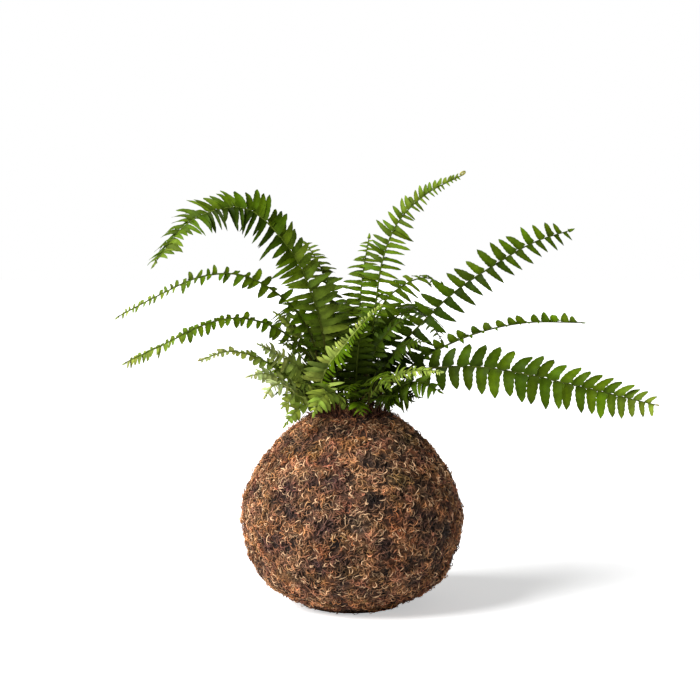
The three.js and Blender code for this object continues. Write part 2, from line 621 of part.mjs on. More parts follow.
// The leaflet of one step along the rib, in the size and attitude that belong there.
function leafletAt(number, rib, step, shares, side, { leaf, taper, tip = TIP_SHARE, lift = 0, up, down }) {
  const last = shares.length - 2;
  const at = (i) => {
    const frame = rib.frame((shares[i] + shares[i + 1]) / 2);
    const [footLean, tipLean, slim, ...sizes] = frame.across.z * side > 0 ? up : down;
    const t = (i + 0.5) / (last + 1);
    const size = valueAt(sizes, t);
    const length = Math.max(SHORTEST, leaf * leafLength(t, taper, tip) * size);
    const sweep = mix(footLean, tipLean, t);
    const middle = frame.centre.clone().addScaledVector(leafDirection(frame, side, sweep, lift), length * WIDEST_AT);
    return { frame, slim, size, length, sweep, middle };
  };
  const own = at(step);
  if (own.size <= 0.1) return null;
  const neighbours = [step - 2, step + 2].filter((i) => i >= 0 && i <= last);
  const pitch = Math.min(...neighbours.map((i) => own.middle.distanceTo(at(i).middle)));
  const wished = {
    length: own.length * (1 + 0.08 * wobble(number, step, 1)),
    width: Math.min(pitch * LEAF_WIDTH, Math.max(SLIMMEST, own.slim * own.length)),
    sweep: own.sweep + 2.5 * wobble(number, step, 2),
    blunt: leaf < BLUNT_FROM ? 0 : BLUNT_WIDTH,
  };
  return fittedLeaf(number, own.frame, side, wished, lift + 7 * wobble(number, step, 3));
}

// Points along a rib, for the clearance of the others.
function ribSamples(rib) {
  const steps = Math.ceil(rib.length / SAMPLE);
  return Array.from({ length: steps + 1 }, (_, i) => rib.curve.getPointAt(i / steps));
}

// ---- The object ---------------------------------------------------------------------------------------

const kokedama = new THREE.Group();
kokedama.add(
  piece("fibre_wrap", fibreWrap(), MATERIALS.fibre),
  piece("soil_ball", soilBall(), MATERIALS.soil),
  piece("crown", crown(), MATERIALS.crown),
);

const plant = new THREE.Group();
const ribs = Object.values(FRONDS).map((row) => new Rib(row));
ribs.forEach((rib, number) => claim(ribSamples(rib), number));
Object.entries(FRONDS).forEach(([name, row], number) => {
  plant.add(piece(`frond_${name}`, frond(number, ribs[number], row), MATERIALS[row.tone]));
});
kokedama.add(plant);

export default kokedama;
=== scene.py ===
"""A kokedama: a young sword fern growing from a ball of soil wrapped in curly brown fibre.

Lengths in the tables are millimetres and everything that goes into Blender is metres. +Z is up, +X is to
the right and +Y to the back; the origin is the middle of the flat spot under the ball.
"""

import json
import math

import bpy
import numpy as np
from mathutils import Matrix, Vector, noise


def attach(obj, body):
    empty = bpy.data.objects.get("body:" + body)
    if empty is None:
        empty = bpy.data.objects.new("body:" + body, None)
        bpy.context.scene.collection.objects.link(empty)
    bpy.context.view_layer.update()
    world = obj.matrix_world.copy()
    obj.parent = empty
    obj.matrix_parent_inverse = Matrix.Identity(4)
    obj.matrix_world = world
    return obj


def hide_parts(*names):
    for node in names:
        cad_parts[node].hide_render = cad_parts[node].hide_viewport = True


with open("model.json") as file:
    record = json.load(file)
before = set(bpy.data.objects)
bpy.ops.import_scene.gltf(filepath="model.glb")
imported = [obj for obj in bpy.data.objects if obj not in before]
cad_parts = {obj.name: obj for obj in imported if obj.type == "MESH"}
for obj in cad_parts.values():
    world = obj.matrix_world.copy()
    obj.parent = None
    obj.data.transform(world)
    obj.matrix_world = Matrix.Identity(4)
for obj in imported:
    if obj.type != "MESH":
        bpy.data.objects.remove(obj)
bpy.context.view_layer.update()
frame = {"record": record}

MM = 0.001
UP = np.array([0.0, 0.0, 1.0])

# ---- Camera and light ----

CAMERA_DISTANCE = 1250.0
CAMERA_ELEVATION = 4.5
CAMERA_TARGET = (-1.4, 0.0, 184.0)
CAMERA_LENS = 89.7
CAMERA_SENSOR = 36
KEY_FROM = (-1.1, -0.6, 0.95)
KEY_LIGHT = 5.3
KEY_SPREAD = 35
ROOM_LIGHT = 0.18
FLOOR_SIZE = 12  # metres
FLOOR_GLOW = 0.5  # how much it lightens the shadow that the camera sees

# ---- The ball, as in the part ----

BALL_OUTLINE = [(33, 0), (54, 11), (69, 26), (79.5, 61), (72.5, 92), (54, 118), (36, 134), (29.5, 138)]
LUMP_HEIGHT = 1.2
WRAP_THICKNESS = 9
CROWN_RADIUS = 28
CROWN_FLOOR = 125
CROWN_EDGE = 136.5
CROWN_TOP = 141
STALK_FOOT = 129
STALK_FREE = 143

# ---- The fronds, as in the part ----

BARE = 0.12
TAPER = 3
LAST_LEAF = 0.12
TIP_CROWDING = 0.55
TIP_GAP = 0.985  # the leaflets end at this share of the rib
HANG = 0.12  # how far the leaflets point down from their blade
SHORTEST = 2.6

# Each row: the foot in the crown, the heading in degrees from +X towards +Y, the rib's route as reach and
# height, how far the blade is turned about the rib in degrees, at the foot and at the tip, the longest
# leaflet, how many the part has, and the age, from 0 for old and dark to 1.5 for new and pale. Then:
#   bare          share of the rib without leaflets, of which this model leaves half
#   taper, tip    how late leaflets grow short, and the last one's share of the longest
#   lift, crowd   how far they rise from the blade, and how much closer they stand at the tip
#   dense, wild   how many for each one of the part's, and how uneven
#   fresh, coil   how much newer the tip is, and its size if it is still coiled
#   point         0 for blunt leaflets to 1 for pointed ones
#   up, down      leaflets on the rib's upper and lower side, down as up if it isn't given: lean towards the
#                 tip in degrees, at the foot and at the tip; width as a share of length; how far their faces
#                 turn up; size; and for some, point and a shift of their age, which above zero makes them
#                 newer and paler, and below zero gives a darker tone that is painted shade
# Width, size and the age shift may be several values in turn, from foot to tip. What stands before age,
# and bare to crowd, are the part's, apart from the roll of front_right, the tip of left_arch and right_big,
# and the longest leaflet of left_hang, front_right, right_low and right_big.
BACK = dict(point=0.6, dense=1.2, wild=1.6, up=(10, 25, 0.4, 0, 1))
INNER = dict(point=0.6, dense=1.4, wild=1.6, up=(8, 20, 0.4, 0.3, 1))
TALL = dict(point=0.7, dense=1.4, wild=2, tip=0.3, up=(0, 10, 0.3, 0.55, 1))
FRONDS = {
    "left_arch": ((-10, 1), 178, [(8, 180), (16, 216), (34, 255), (66, 285), (104, 277), (131, 247)],
        (-80, -45), 20, 46, 0.62, dict(bare=0.1, taper=4, tip=0.5, dense=2.1, wild=2.5, fresh=0, point=0.9,
        up=(5, 45, (0.3, 0.35, 0.45, 0.7, 0.6, 0.5), 0.2, (1, 0.95, 0.95, 0.95, 1.02, 1.02, 1), 0.4, (0.05,
            0.05, -0.05, -0.25, -0.2, -0.1)),
        down=(30, -40, (0.25, 0.28, 0.4, 0.9, 0.5, 0.4), 0.2, (1, 1, 0.95, 0.82, 0.95, 1), 0.6, (0.1, 0,
            -0.1, -0.7, -0.7, -0.1, 0)))),
    "left_upper": ((-17, -2), 186,
        [(6, 172), (16, 202), (34, 223), (62, 238), (90, 237), (118, 225), (149, 209)], (-60, -50), 12, 40,
        0.3, dict(taper=1, tip=0.27, crowd=1.1, dense=1.5, wild=3, fresh=0.7, point=0.5,
        up=(-8, -30, 0.45, 0.1, 1.05), down=(5, 35, 0.6, 0.1, 0.9))),
    "left_middle": ((-17, -8), 196,
        [(6, 166), (19, 186), (36, 200), (60, 208), (84, 206), (118, 191), (145, 179)], (-60, -40), 11, 38,
        0.3, dict(taper=1.2, tip=0.45, crowd=1.3, dense=1.85, wild=3, fresh=0.8, point=0.3,
        up=(-8, -30, 0.7, 0.1, (0.6, 0.6, 0.6, 0.62, 0.62)),
        down=(0, 30, 0.6, 0.1, (0.7, 0.7, 0.8, 0.95, 1, 1)))),
    "left_small": ((-25, -4.5), 200, [(6, 153), (20, 164), (44, 180), (66, 185), (87, 179)], (-50, -50), 8.5,
        22, 0.8, dict(taper=1.1, tip=0.4, crowd=1.1, dense=1.7, wild=2.5, fresh=0.7, coil=0.8,
        up=(10, 20, 0.85, 0.1, (1.1, 0.9, 0.7, 0.7)), down=(10, 20, 0.85, 0.1, (1.1, 0.9, 0.7, 0.6)))),
    "left_tiny": ((-23.5, -10), 212, [(7, 151), (18, 157), (30, 164), (44, 170), (57, 169)], (-50, -40), 9,
        16, 1, dict(taper=5, dense=1.6, wild=2.5, fresh=0.5, up=(15, 20, 0.85, 0, 1))),
    "left_curl": ((-20.5, -15), 225, [(6, 150), (22, 154), (34, 161), (46, 164), (55, 157)], (-45, -30), 10,
        16, 1, dict(taper=7, dense=1.9, wild=4, fresh=0.8, up=(15, 20, 0.85, 0, 1))),
    "left_front": ((-21, -5.5), 208, [(3, 157), (13, 168), (25, 177), (37, 183), (49, 190)], (-50, -50), 13,
        18, 0.95, dict(bare=0.25, taper=4, dense=1.8, wild=3, fresh=0.4, point=0.1,
        up=(15, 20, 0.75, 0, 1))),
    "left_low": ((-25.5, 2), 190, [(5, 149), (13, 151), (24, 144)], (-45, -45), 10, 8, 0.84, dict(bare=0.2,
        taper=4, dense=1.4, wild=3, up=(15, 20, 0.8, 0, 1))),
    "left_hang": ((-12.5, -23), 206, [(4, 146), (14, 149), (27, 146), (38, 135)], (-40, -30), 7.5, 12, 0.72,
        dict(bare=0.2, dense=1.5, wild=3, up=(15, 20, 0.8, 0, 1))),
    "front_rise": ((-17, -19), 319,
        [(-3, 153), (-6, 162), (0, 174), (10, 184), (23, 197), (40, 212), (50, 219)], (110, 85), 21, 30,
        1.03, dict(bare=0.08, tip=0.5, lift=20, crowd=0.5, dense=2.1, wild=2.5, fresh=0.05, coil=0.9,
        point=0.15,
        up=(-10, 30, (0.36, 0.34, 0.34, 0.4, 0.5, 0.5), 0, (0.7, 0.95, 0.85, 0.5, 0.3, 0.27, 0.25, 0.24,
            0.22, 0.22)),
        down=(-10, 30, (0.3, 0.32, 0.36, 0.4, 0.4, 0.4), 0, (0.25, 0.4, 0.35, 0.45, 0.45, 0.35, 0.3, 0.26,
            0.22, 0.22), 0.5, -0.6))),
    "front_left": ((-8, -24), 238, [(3, 152), (12, 157), (24, 155), (34, 145)], (-30, -30), 14, 12, 0.76,
        dict(dense=1.5, wild=1.5, point=0.1, up=(15, 20, 0.75, 0, 1))),
    "front_right": ((10, -15), 325, [(4, 152), (14, 162), (30, 170), (46, 173), (62, 173)], (60, 60), 9, 24,
        0.66, dict(taper=2, dense=2.1, wild=3.5, fresh=0.45, point=0.2, up=(35, 40, 0.42, 0.1, 1),
        down=(25, 35, 0.42, 0.1, 1))),
    "front_toward": ((11, -21), 288, [(3, 153), (12, 164), (26, 170), (40, 168), (48, 163)], (20, 20), 12,
        14, 0.5, dict(bare=0.15, taper=2.5, dense=1.6, wild=1.5, point=0.6, up=(15, 25, 0.36, 0, 1))),
    "front_tiny": ((1, -25), 285, [(4, 148), (12, 150), (22, 144)], (0, 0), 10, 8, 0.45, dict(bare=0.15,
        taper=4, dense=1.4, wild=1.5, point=0.6, up=(15, 25, 0.45, 0, 1))),
    "right_low": ((24, -8), 345, [(4, 148), (10, 151), (19, 149)], (40, 40), 13, 8, 0.55, dict(bare=0.2,
        taper=4, dense=1.5, wild=2.5, point=0.7, up=(15, 25, 0.4, 0, 1))),
    "right_under": ((20, -15), 333, [(5, 151), (16, 160), (32, 164), (46, 158)], (50, 50), 13, 14, 0.3,
        dict(bare=0.15, dense=1.35, wild=2.5, point=0.7, up=(10, 20, 0.5, 0, 1.1),
        down=(-5, 10, 0.55, 0, 1.2))),
    "right_big": ((17, -7), 352,
        [(6, 157), (24, 169), (50, 173), (76, 173), (109, 168), (150, 159), (198, 148)], (70, 75), 19, 44,
        0.2, dict(bare=0.08, taper=5, tip=0.42, wild=0.8, fresh=0.5, coil=1.3, point=0.25,
        up=(6, 30, (0.6, 0.5, 0.46, 0.46, 0.46), 0, (0.9, 0.95, 0.95, 1), 0.25, (-0.2, -0.1, 0, 0, 0)),
        down=(-8, 14, (0.8, 0.55, 0.46, 0.46, 0.46), 0, (0.6, 0.7, 0.85, 0.95, 0.95, 0.95, 0.95, 0.95), 0.25,
            (-0.2, -0.1, 0, 0, 0)))),
    "right_middle": ((18, 1), 4, [(6, 158), (22, 170), (42, 183), (73, 196), (107, 203), (149, 203)],
        (45, 40), 9.5, 34, 0.2, dict(taper=5, tip=0.6, lift=30, wild=1.8, fresh=0.4, point=0.75,
        up=(-10, -14, 0.8, 0, (1.3, 1.1, 0.9, 0.75, 0.85, 1, 0.8)),
        down=(0, 10, 0.6, 0, (1, 0.95, 0.7, 0.3, 0.1, 0.1)))),
    "right_upper": ((15, 7), 12,
        [(5, 165), (18, 184), (34, 200), (60, 224), (94, 246), (122, 261), (148, 269)], (65, 70), 17, 42,
        0.3, dict(bare=0.1, taper=7, tip=0.5, dense=0.9, wild=1.2, fresh=0.2, point=0.7,
        up=(-8, -8, 0.36, 0, (0.9, 1, 1.05, 1.08, 1.08, 1.08, 1.05), 0.65, 0),
        down=(6, 25, 0.38, -0.8, (1.1, 1.05, 0.9, 0.82, 0.78, 0.75), 0.8, -0.3))),
    "right_back": ((7, 8), 40, [(5, 175), (20, 215), (36, 227), (62, 234), (92, 223)], (30, 20), 16, 28, 0.5,
        dict(tip=0.3, dense=1.3, wild=2, point=0.8, up=(0, 10, 0.36, 0.4, 1))),
    "tall_right": ((9, 2), 8, [(3, 175), (8, 215), (13, 248), (24, 275), (44, 295), (71, 309)], (75, 60), 16,
        44, 0.5, dict(bare=0.1, taper=4, tip=0.5, crowd=0.8, dense=1.55, wild=2, coil=2.6, point=0.9,
        up=(0, 35, (0.17, 0.18, 0.24, 0.45, 0.62), 0.3, (0.7, 0.85, 0.95, 1.05, 0.78, 0.6, 0.55), 0.6,
            (-0.45, -0.25, 0, 0.05, 0.05)),
        down=(-5, 20, (0.2, 0.22, 0.24, 0.3, 0.4), 0.65, (0.5, 0.65, 0.85, 1.1, 0.6, 0.38, 0.28), 0.5, (-0.4,
            -0.1, 0, 0, 0)))),
    "tall_back": ((1, 9), 70, [(4, 175), (12, 208), (20, 236), (34, 264)], (0, 10), 16, 32, 0.5, TALL),
    "tall_left": ((-6, 7), 128, [(5, 175), (14, 213), (28, 243), (46, 260)], (0, -20), 18, 32, 0.6, TALL),
    "inner_front": ((2, -8), 290, [(3, 165), (8, 187), (17, 206)], (0, 0), 15, 18, 0.3, INNER),
    "inner_left": ((-5, -7), 195, [(3, 160), (9, 176), (19, 189)], (0, 0), 14, 16, 0.4, INNER),
    "inner_right": ((9, -4), 340, [(3, 165), (9, 185), (19, 199), (31, 208)], (40, 40), 15, 18, 0.1, INNER),
    "back_right": ((9, 15), 60, [(5, 165), (22, 192), (56, 212), (94, 203), (124, 182)], (10, 0), 19, 32,
        0.2, dict(BACK, taper=4)),
    "back_long": ((-1, 18), 93, [(5, 165), (24, 195), (62, 215), (106, 203), (140, 176)], (0, 0), 19, 34,
        0.2, dict(BACK, taper=4)),
    "back_left": ((-9, 15), 118, [(5, 165), (22, 192), (52, 212), (84, 206), (110, 188)], (-10, 0), 18, 30,
        0.3, dict(BACK, taper=4)),
    "back_low_left": ((-21, 12), 152, [(5, 151), (18, 162), (38, 167), (54, 160)], (0, 0), 12, 14, 0.7,
        dict(BACK, bare=0.15)),
    "back_low_right": ((20, 14), 35, [(5, 151), (18, 162), (40, 168), (58, 160)], (0, 0), 12, 14, 0.5,
        dict(BACK, bare=0.15)),
    "back_low": ((-4, 24), 100, [(5, 150), (16, 158), (34, 160), (48, 151)], (0, 0), 11, 14, 0.7, dict(BACK,
        bare=0.15)),
}

# ---- Helpers ----


def colour(*srgb):
    """A colour given as on screen, 0 to 255, in Blender's linear light."""
    s = np.array(srgb, dtype=float) / 255
    return np.where(s <= 0.04045, s / 12.92, ((s + 0.055) / 1.055) ** 2.4)


def mix(a, b, t):
    return a + (b - a) * t


def wobble(a, b, c):
    """A repeatable value from -1 to 1 for three numbers."""
    value = math.sin(a * 12.9898 + b * 78.233 + c * 37.719) * 43758.5453
    return 2 * (value - math.floor(value)) - 1


def unit(v):
    return v / np.maximum(np.linalg.norm(v, axis=-1, keepdims=True), 1e-12)


def add_object(name, data):
    made = bpy.data.objects.new(name, data)
    bpy.context.scene.collection.objects.link(made)
    return made


def make_mesh(name, points, faces, material, tint=None, sharp_degrees=None):
    """A mesh object from points in millimetres, and quads and triangles as a list of two arrays."""
    mesh = bpy.data.meshes.new(name)
    mesh.vertices.add(len(points))
    mesh.vertices.foreach_set("co", (np.asarray(points) * MM).astype(np.float32).ravel())
    corners = np.concatenate([kind.ravel() for kind in faces]).astype(np.int32)
    sizes = np.concatenate([np.full(len(kind), kind.shape[1]) for kind in faces]).astype(np.int32)
    mesh.loops.add(len(corners))
    mesh.loops.foreach_set("vertex_index", corners)
    mesh.polygons.add(len(sizes))
    mesh.polygons.foreach_set("loop_start", np.concatenate([[0], np.cumsum(sizes)[:-1]]).astype(np.int32))
    mesh.polygons.foreach_set("loop_total", sizes)
    mesh.polygons.foreach_set("use_smooth", np.ones(len(sizes), dtype=bool))
    mesh.update(calc_edges=True)
    if tint is not None:
        layer = mesh.color_attributes.new("tint", "FLOAT_COLOR", "POINT")
        rgba = np.ones((len(points), 4), dtype=np.float32)
        rgba[:, :3] = tint
        layer.data.foreach_set("color", rgba.ravel())
    if sharp_degrees:
        mesh.set_sharp_from_angle(angle=math.radians(sharp_degrees))
    mesh.materials.append(material)
    return add_object(name, mesh)


def joined(name, parts, material, sharp_degrees):
    """One mesh of many small forms, each given as points, tint, quads and triangles."""
    size, quads, triangles, tints = 0, [], [], []
    for points, tint, four, three in parts:
        quads.append(four + size)
        if len(three):
            triangles.append(three + size)
        tints.append(np.broadcast_to(tint, points.shape))
        size += len(points)
    faces = [np.concatenate(quads), np.concatenate(triangles)]
    points = np.concatenate([part[0] for part in parts])
    return make_mesh(name, points, faces, material, np.concatenate(tints), sharp_degrees)


# ---- Materials ----


class Nodes:
    """A material's node tree, with short calls for the nodes that the materials here use."""

    def __init__(self, name):
        self.material = bpy.data.materials.new(name)
        self.material.use_nodes = True
        self.tree = self.material.node_tree
        self.shader = self.tree.nodes["Principled BSDF"]

    def node(self, kind, links=None, values=None, **settings):
        made = self.tree.nodes.new(kind)
        for key, value in settings.items():
            setattr(made, key, value)
        for socket, value in (values or {}).items():
            made.inputs[socket].default_value = value
        for socket, source in (links or {}).items():
            self.tree.links.new(source, made.inputs[socket])
        return made

    def noise(self, scale, detail=4.0, roughness=0.5, distortion=0.0):
        place = self.node("ShaderNodeTexCoord").outputs["Object"]
        values = dict(Scale=scale, Detail=detail, Roughness=roughness, Distortion=distortion)
        return self.node("ShaderNodeTexNoise", {"Vector": place}, values).outputs["Fac"]

    def ramp(self, factor, stops):
        made = self.node("ShaderNodeValToRGB", {"Fac": factor})
        elements = made.color_ramp.elements
        while len(elements) < len(stops):
            elements.new(0.5)
        for element, (position, rgb) in zip(elements, stops):
            element.position = position
            element.color = (*rgb, 1)
        return made.outputs["Color"]

    def tinted(self, shade):
        """The mesh's own tint times a shade."""
        tint = self.node("ShaderNodeAttribute", attribute_name="tint").outputs["Color"]
        kind = dict(data_type="RGBA", blend_type="MULTIPLY")
        return self.node("ShaderNodeMix", {6: tint, 7: shade}, {0: 1.0}, **kind).outputs[2]

    def set(self, **values):
        for key, value in values.items():
            socket = self.shader.inputs[key.replace("_", " ")]
            if hasattr(value, "links"):
                self.tree.links.new(value, socket)
            else:
                socket.default_value = value

    def bump(self, height, distance, strength):
        made = self.node("ShaderNodeBump", {"Height": height}, dict(Distance=distance, Strength=strength))
        self.set(Normal=made.outputs["Normal"])


def grey(value):
    return (value, value, value)


def surface(name, grain, stops, roughness, relief, depth, strength=1.0, tinted=True, **more):
    """A material coloured by noise through a ramp, times the mesh's own tint, over a bump of other noise."""
    n = Nodes(name)
    shade = n.ramp(n.noise(*grain), stops)
    n.set(Base_Color=n.tinted(shade) if tinted else shade, Roughness=roughness, **more)
    n.bump(n.noise(*relief), depth, strength)
    return n.material


def leaf_material(name, roughness):
    mottle = [(0.3, grey(0.78)), (0.7, grey(1.18))]
    return surface(name, (260, 3), mottle, roughness, (900, 2), 0.00012, 0.5, Specular_IOR_Level=0.07)


def fibre_material():
    streaks = [(0.3, grey(0.8)), (0.7, grey(1.2))]
    return surface("coir_strands", (700, 2), streaks, 0.72, (1500, 2), 0.00015, 0.6)


def ball_material():
    """The dense mat between the strands: the patches' colours, with fine fibres in all directions."""
    fibres = (520, 5, 0.75, 2.5)
    return surface("packed_fibre", fibres, [(0.32, grey(0.35)), (0.62, grey(1.5))], 0.9, fibres, 0.0012)


def crown_material():
    browns = [(0.3, colour(22, 12, 9)), (0.55, colour(58, 28, 18)), (0.8, colour(110, 64, 40))]
    return surface("crown_mat", (300, 6, 0.7, 1.0), browns, 0.85, (360, 6, 0.7), 0.001, tinted=False)


def soil_material():
    browns = [(0.3, colour(28, 19, 14)), (0.7, colour(74, 54, 40))]
    return surface("potting_soil", (220, 6, 0.7), browns, 0.95, (300, 6, 0.7), 0.0015, tinted=False)


def floor_material():
    n = Nodes("pale_floor")
    n.set(Base_Color=n.ramp(n.noise(6, 2), [(0.3, grey(0.93)), (0.7, grey(0.96))]), Roughness=0.8)
    # Painted light: the floor glows for camera rays only, which lightens the shadow that the camera sees.
    seen = n.node("ShaderNodeLightPath").outputs["Is Camera Ray"]
    n.set(Emission_Color=(*grey(FLOOR_GLOW), 1), Emission_Strength=seen)
    return n.material


# ---- The ball ----

OUTLINE_STEPS = 240
OUTLINE_SPAN = 40  # points from one given point to the next before they are spaced evenly


def between(b, c, u, v, t):
    """A cubic from b to c with the slopes u and v there, at the shares t."""
    return b + u * t + (-3 * b + 3 * c - 2 * u - v) * t**2 + (2 * b - 2 * c + u + v) * t**3


def distances(line):
    """How far along a line each of its points is."""
    return np.concatenate([[0], np.cumsum(np.linalg.norm(np.diff(line, axis=0), axis=1))])


def spline(points, steps):
    """A Catmull-Rom line through the points, with its points evenly spaced."""
    p = np.array(points, dtype=float)
    p = np.vstack([2 * p[0] - p[1], p, 2 * p[-1] - p[-2]])
    t = np.linspace(0, 1, OUTLINE_SPAN, endpoint=False)[:, None]
    runs = [between(b, c, (c - a) / 2, (d - b) / 2, t) for a, b, c, d in zip(p, p[1:], p[2:], p[3:])]
    line = np.vstack([*runs, p[-2:-1]])
    along = distances(line)
    even = np.linspace(0, along[-1], steps + 1)
    return np.stack([np.interp(even, along, line[:, k]) for k in (0, 1)], axis=1)


OUTLINE = spline(BALL_OUTLINE, OUTLINE_STEPS)
OUTLINE_NORMAL = unit(np.stack([np.gradient(OUTLINE[:, 1]), -np.gradient(OUTLINE[:, 0])], axis=1))


def ball_radius(height):
    return float(np.interp(height, OUTLINE[:, 1], OUTLINE[:, 0]))


def lumps(turn, height):
    """The packed fibre's broad relief, as on the part, and zero at the flat spot and the rim."""
    fade = np.sqrt(np.sin(np.pi * np.clip((height - 6) / 128, 0, 1)).clip(0))
    waves = (np.sin(5 * turn + height / 9) + np.sin(9 * turn - height / 6) * np.cos(height / 11)
             + np.sin(height / 7 + 3 * turn))
    return LUMP_HEIGHT * fade * waves / 3


def ball_points(at, turn):
    """Points on the ball, at a share of the outline and a turn about Z, with the outward normals."""
    place = np.asarray(at) * (len(OUTLINE) - 1)
    index = np.arange(len(OUTLINE))
    r, z, nr, nz = (np.interp(place, index, a) for a in (*OUTLINE.T, *OUTLINE_NORMAL.T))
    rise = lumps(turn, z)
    r, z = r + nr * rise, z + nz * rise
    points = np.stack([r * np.cos(turn), r * np.sin(turn), z], axis=-1)
    normals = np.stack([nr * np.cos(turn), nr * np.sin(turn), nz], axis=-1)
    return points, normals


def ring(radius, height, turn):
    """A level ring of points at the turns about Z."""
    return np.stack([radius * np.cos(turn), radius * np.sin(turn), np.full(len(turn), height)], axis=1)


def closed(rings, first, last):
    """Rings of points joined in turn, with a point that closes each end: the points, quads and triangles."""
    steps = len(rings[0])
    points = np.vstack([*rings, first, last])
    i, j = np.meshgrid(np.arange(len(rings) - 1) * steps, np.arange(steps), indexing="ij")
    k = (j + 1) % steps
    quads = np.stack([i + j, i + k, i + steps + k, i + steps + j], axis=-1).reshape(-1, 4)
    j, k, top = j[0], k[0], (len(rings) - 1) * steps
    ends = [(k, j, np.full(steps, len(points) - 2)), (top + j, top + k, np.full(steps, len(points) - 1))]
    return points, quads, np.vstack([np.stack(corners, axis=-1) for corners in ends])


def ball_noise(points, scale, offset):
    """Smooth noise from about -1 to 1, scale cycles a millimetre."""
    shift = Vector((offset, 2 * offset, 3 * offset))
    return np.array([noise.noise(Vector(p) * scale + shift) for p in points])


def relief(points):
    """How far the matted surface stands out at points on the ball: clumps, tufts and holes."""
    return (1.1 * ball_noise(points, 0.07, 1) + 1.3 * ball_noise(points, 0.15, 2)
            + 1.1 * ball_noise(points, 0.34, 3))


TAN = colour(210, 148, 100)
BROWN = colour(152, 98, 58)
RUST = colour(150, 86, 46)
PINK = colour(160, 98, 74)
PURPLE = colour(82, 50, 46)
MUSTARD = colour(146, 102, 46)
OLIVE = colour(112, 90, 40)
ASH = colour(146, 114, 86)
# The dark of the holes in the mat: painted shade.
HOLE_SHADE = colour(30, 18, 12)
# Patches all over: tone, and the most of it. The ones in the holes' dark are painted shade.
PATCHES = [(RUST, 0.8), (PINK, 0.6), (PURPLE, 0.6), (MUSTARD, 0.5), (ASH, 0.3), (HOLE_SHADE, 0.6)]
# Blots on the front: place across and up, radius, and tone. The ones in the holes' dark are painted shade in
# deep holes.
BLOTS = [
    (17, 111, 4, HOLE_SHADE), (12, 87, 7, HOLE_SHADE), (-44, 92, 10, PURPLE), (-42, 77, 7, PURPLE), (-59, 52, 8, PURPLE),
    (-24, 63, 7, PURPLE), (-16, 71, 9, PURPLE), (-14, 98, 8, PURPLE), (-7, 31, 5, HOLE_SHADE), (-24, 42, 7, PURPLE),
    (50, 87, 5, HOLE_SHADE), (59, 49, 6, HOLE_SHADE), (41, 26, 6, HOLE_SHADE), (20, 58, 7, PURPLE), (41, 123, 8, OLIVE),
    (32, 100, 9, OLIVE), (4, 72, 8, ASH), (-26, 119, 8, MUSTARD), (0, 37, 6, MUSTARD), (66, 60, 7, HOLE_SHADE),
]


def patch_tones(points):
    """The mat's tone at points on the ball: brown and tan, with patches and blots of other tones, the darkest
    of them painted shade in holes.
    """
    tone = mix(BROWN, TAN, np.clip(0.45 + 1.6 * ball_noise(points, 0.045, 4), 0, 1)[:, None])
    for k, (patch, most) in enumerate(PATCHES):
        share = np.clip((ball_noise(points, 0.075, 10 + k) - 0.2) * 5, 0, most)
        tone = mix(tone, patch, share[:, None])
    for x, z, radius, patch in BLOTS:
        y = -math.sqrt(max(0, ball_radius(z) ** 2 - x * x))
        away = np.linalg.norm(points - np.array([x, y, z]), axis=1) / radius
        tone = mix(tone, patch, (0.85 * np.exp(-(away**3)))[:, None])
    return tone


BALL_GRID = (290, 165)  # points round the ball, and rings from the flat spot to the mouth
MAT_DEPTH = -1.7  # the mat lies this far under the ball's outline, and the strands fill the rest
RELIEF = 0.8  # how much of relief() the mat and the strands follow
GRAIN = 0.7  # and how much of the finest noise the mat follows
GAP = 0.2  # between the wrap and the crown's mat


def fibre_ball(material):
    """The wrap: a shell whose outside is densely lumpy, with the mouth at the top."""
    steps, rows = BALL_GRID
    turn = np.linspace(0, 2 * np.pi, steps, endpoint=False)
    outside, tints = [], []
    for share in np.linspace(0, 1, rows):
        points, normals = ball_points(np.full(steps, share), turn)
        edge = min(1.0, share * 12, (1 - share) * 20)
        rise = relief(points)
        fine = ball_noise(points, 0.8, 5)
        points = points + normals * ((rise * RELIEF + fine * GRAIN + MAT_DEPTH) * edge)[:, None]
        points[:, 2] = points[:, 2].clip(0)
        outside.append(points)
        # Painted shade: the mat is darkened towards the holes' dark, most where its relief and fine grain
        # sink.
        depth = np.clip(0.26 + 0.26 * rise + 0.2 * fine, 0.0, 1)
        tints.append(mix(HOLE_SHADE, patch_tones(points), depth[:, None]))
    wall, floor = CROWN_RADIUS + GAP, CROWN_FLOOR + GAP
    hollow = [(wall, OUTLINE[-1, 1] - 0.5), (wall, floor), (wall + WRAP_THICKNESS, floor)]
    for share in (0.72, 0.6, 0.48, 0.36, 0.24, 0.12):
        place = int(share * OUTLINE_STEPS)
        radius, height = OUTLINE[place] - OUTLINE_NORMAL[place] * WRAP_THICKNESS
        hollow.append((radius, max(height, WRAP_THICKNESS)))
    hollow.append((BALL_OUTLINE[0][0] - 4, WRAP_THICKNESS))
    inside = [ring(radius, height, turn) for radius, height in hollow]
    points, quads, ends = closed(outside + inside, (0, 0, 0), (0, 0, WRAP_THICKNESS))
    tint = np.vstack([*tints, np.tile(HOLE_SHADE, (len(points) - rows * steps, 1))])
    return make_mesh("fibre_ball", points, [quads, ends], material, tint)


def tube_rings(path, radius, up):
    """Three corners round each point of many paths: path is (n, k, 3), radius (n, k), up (n, 3)."""
    along = unit(np.gradient(path, axis=1))
    side = unit(np.cross(along, up[:, None, :]))
    top = np.cross(side, along)
    rings = []
    for angle in (0.5, 0.5 + 2 * np.pi / 3, 0.5 + 4 * np.pi / 3):
        rings.append(path + radius[..., None] * (side * np.cos(angle) + top * np.sin(angle)))
    return np.stack(rings, axis=2)


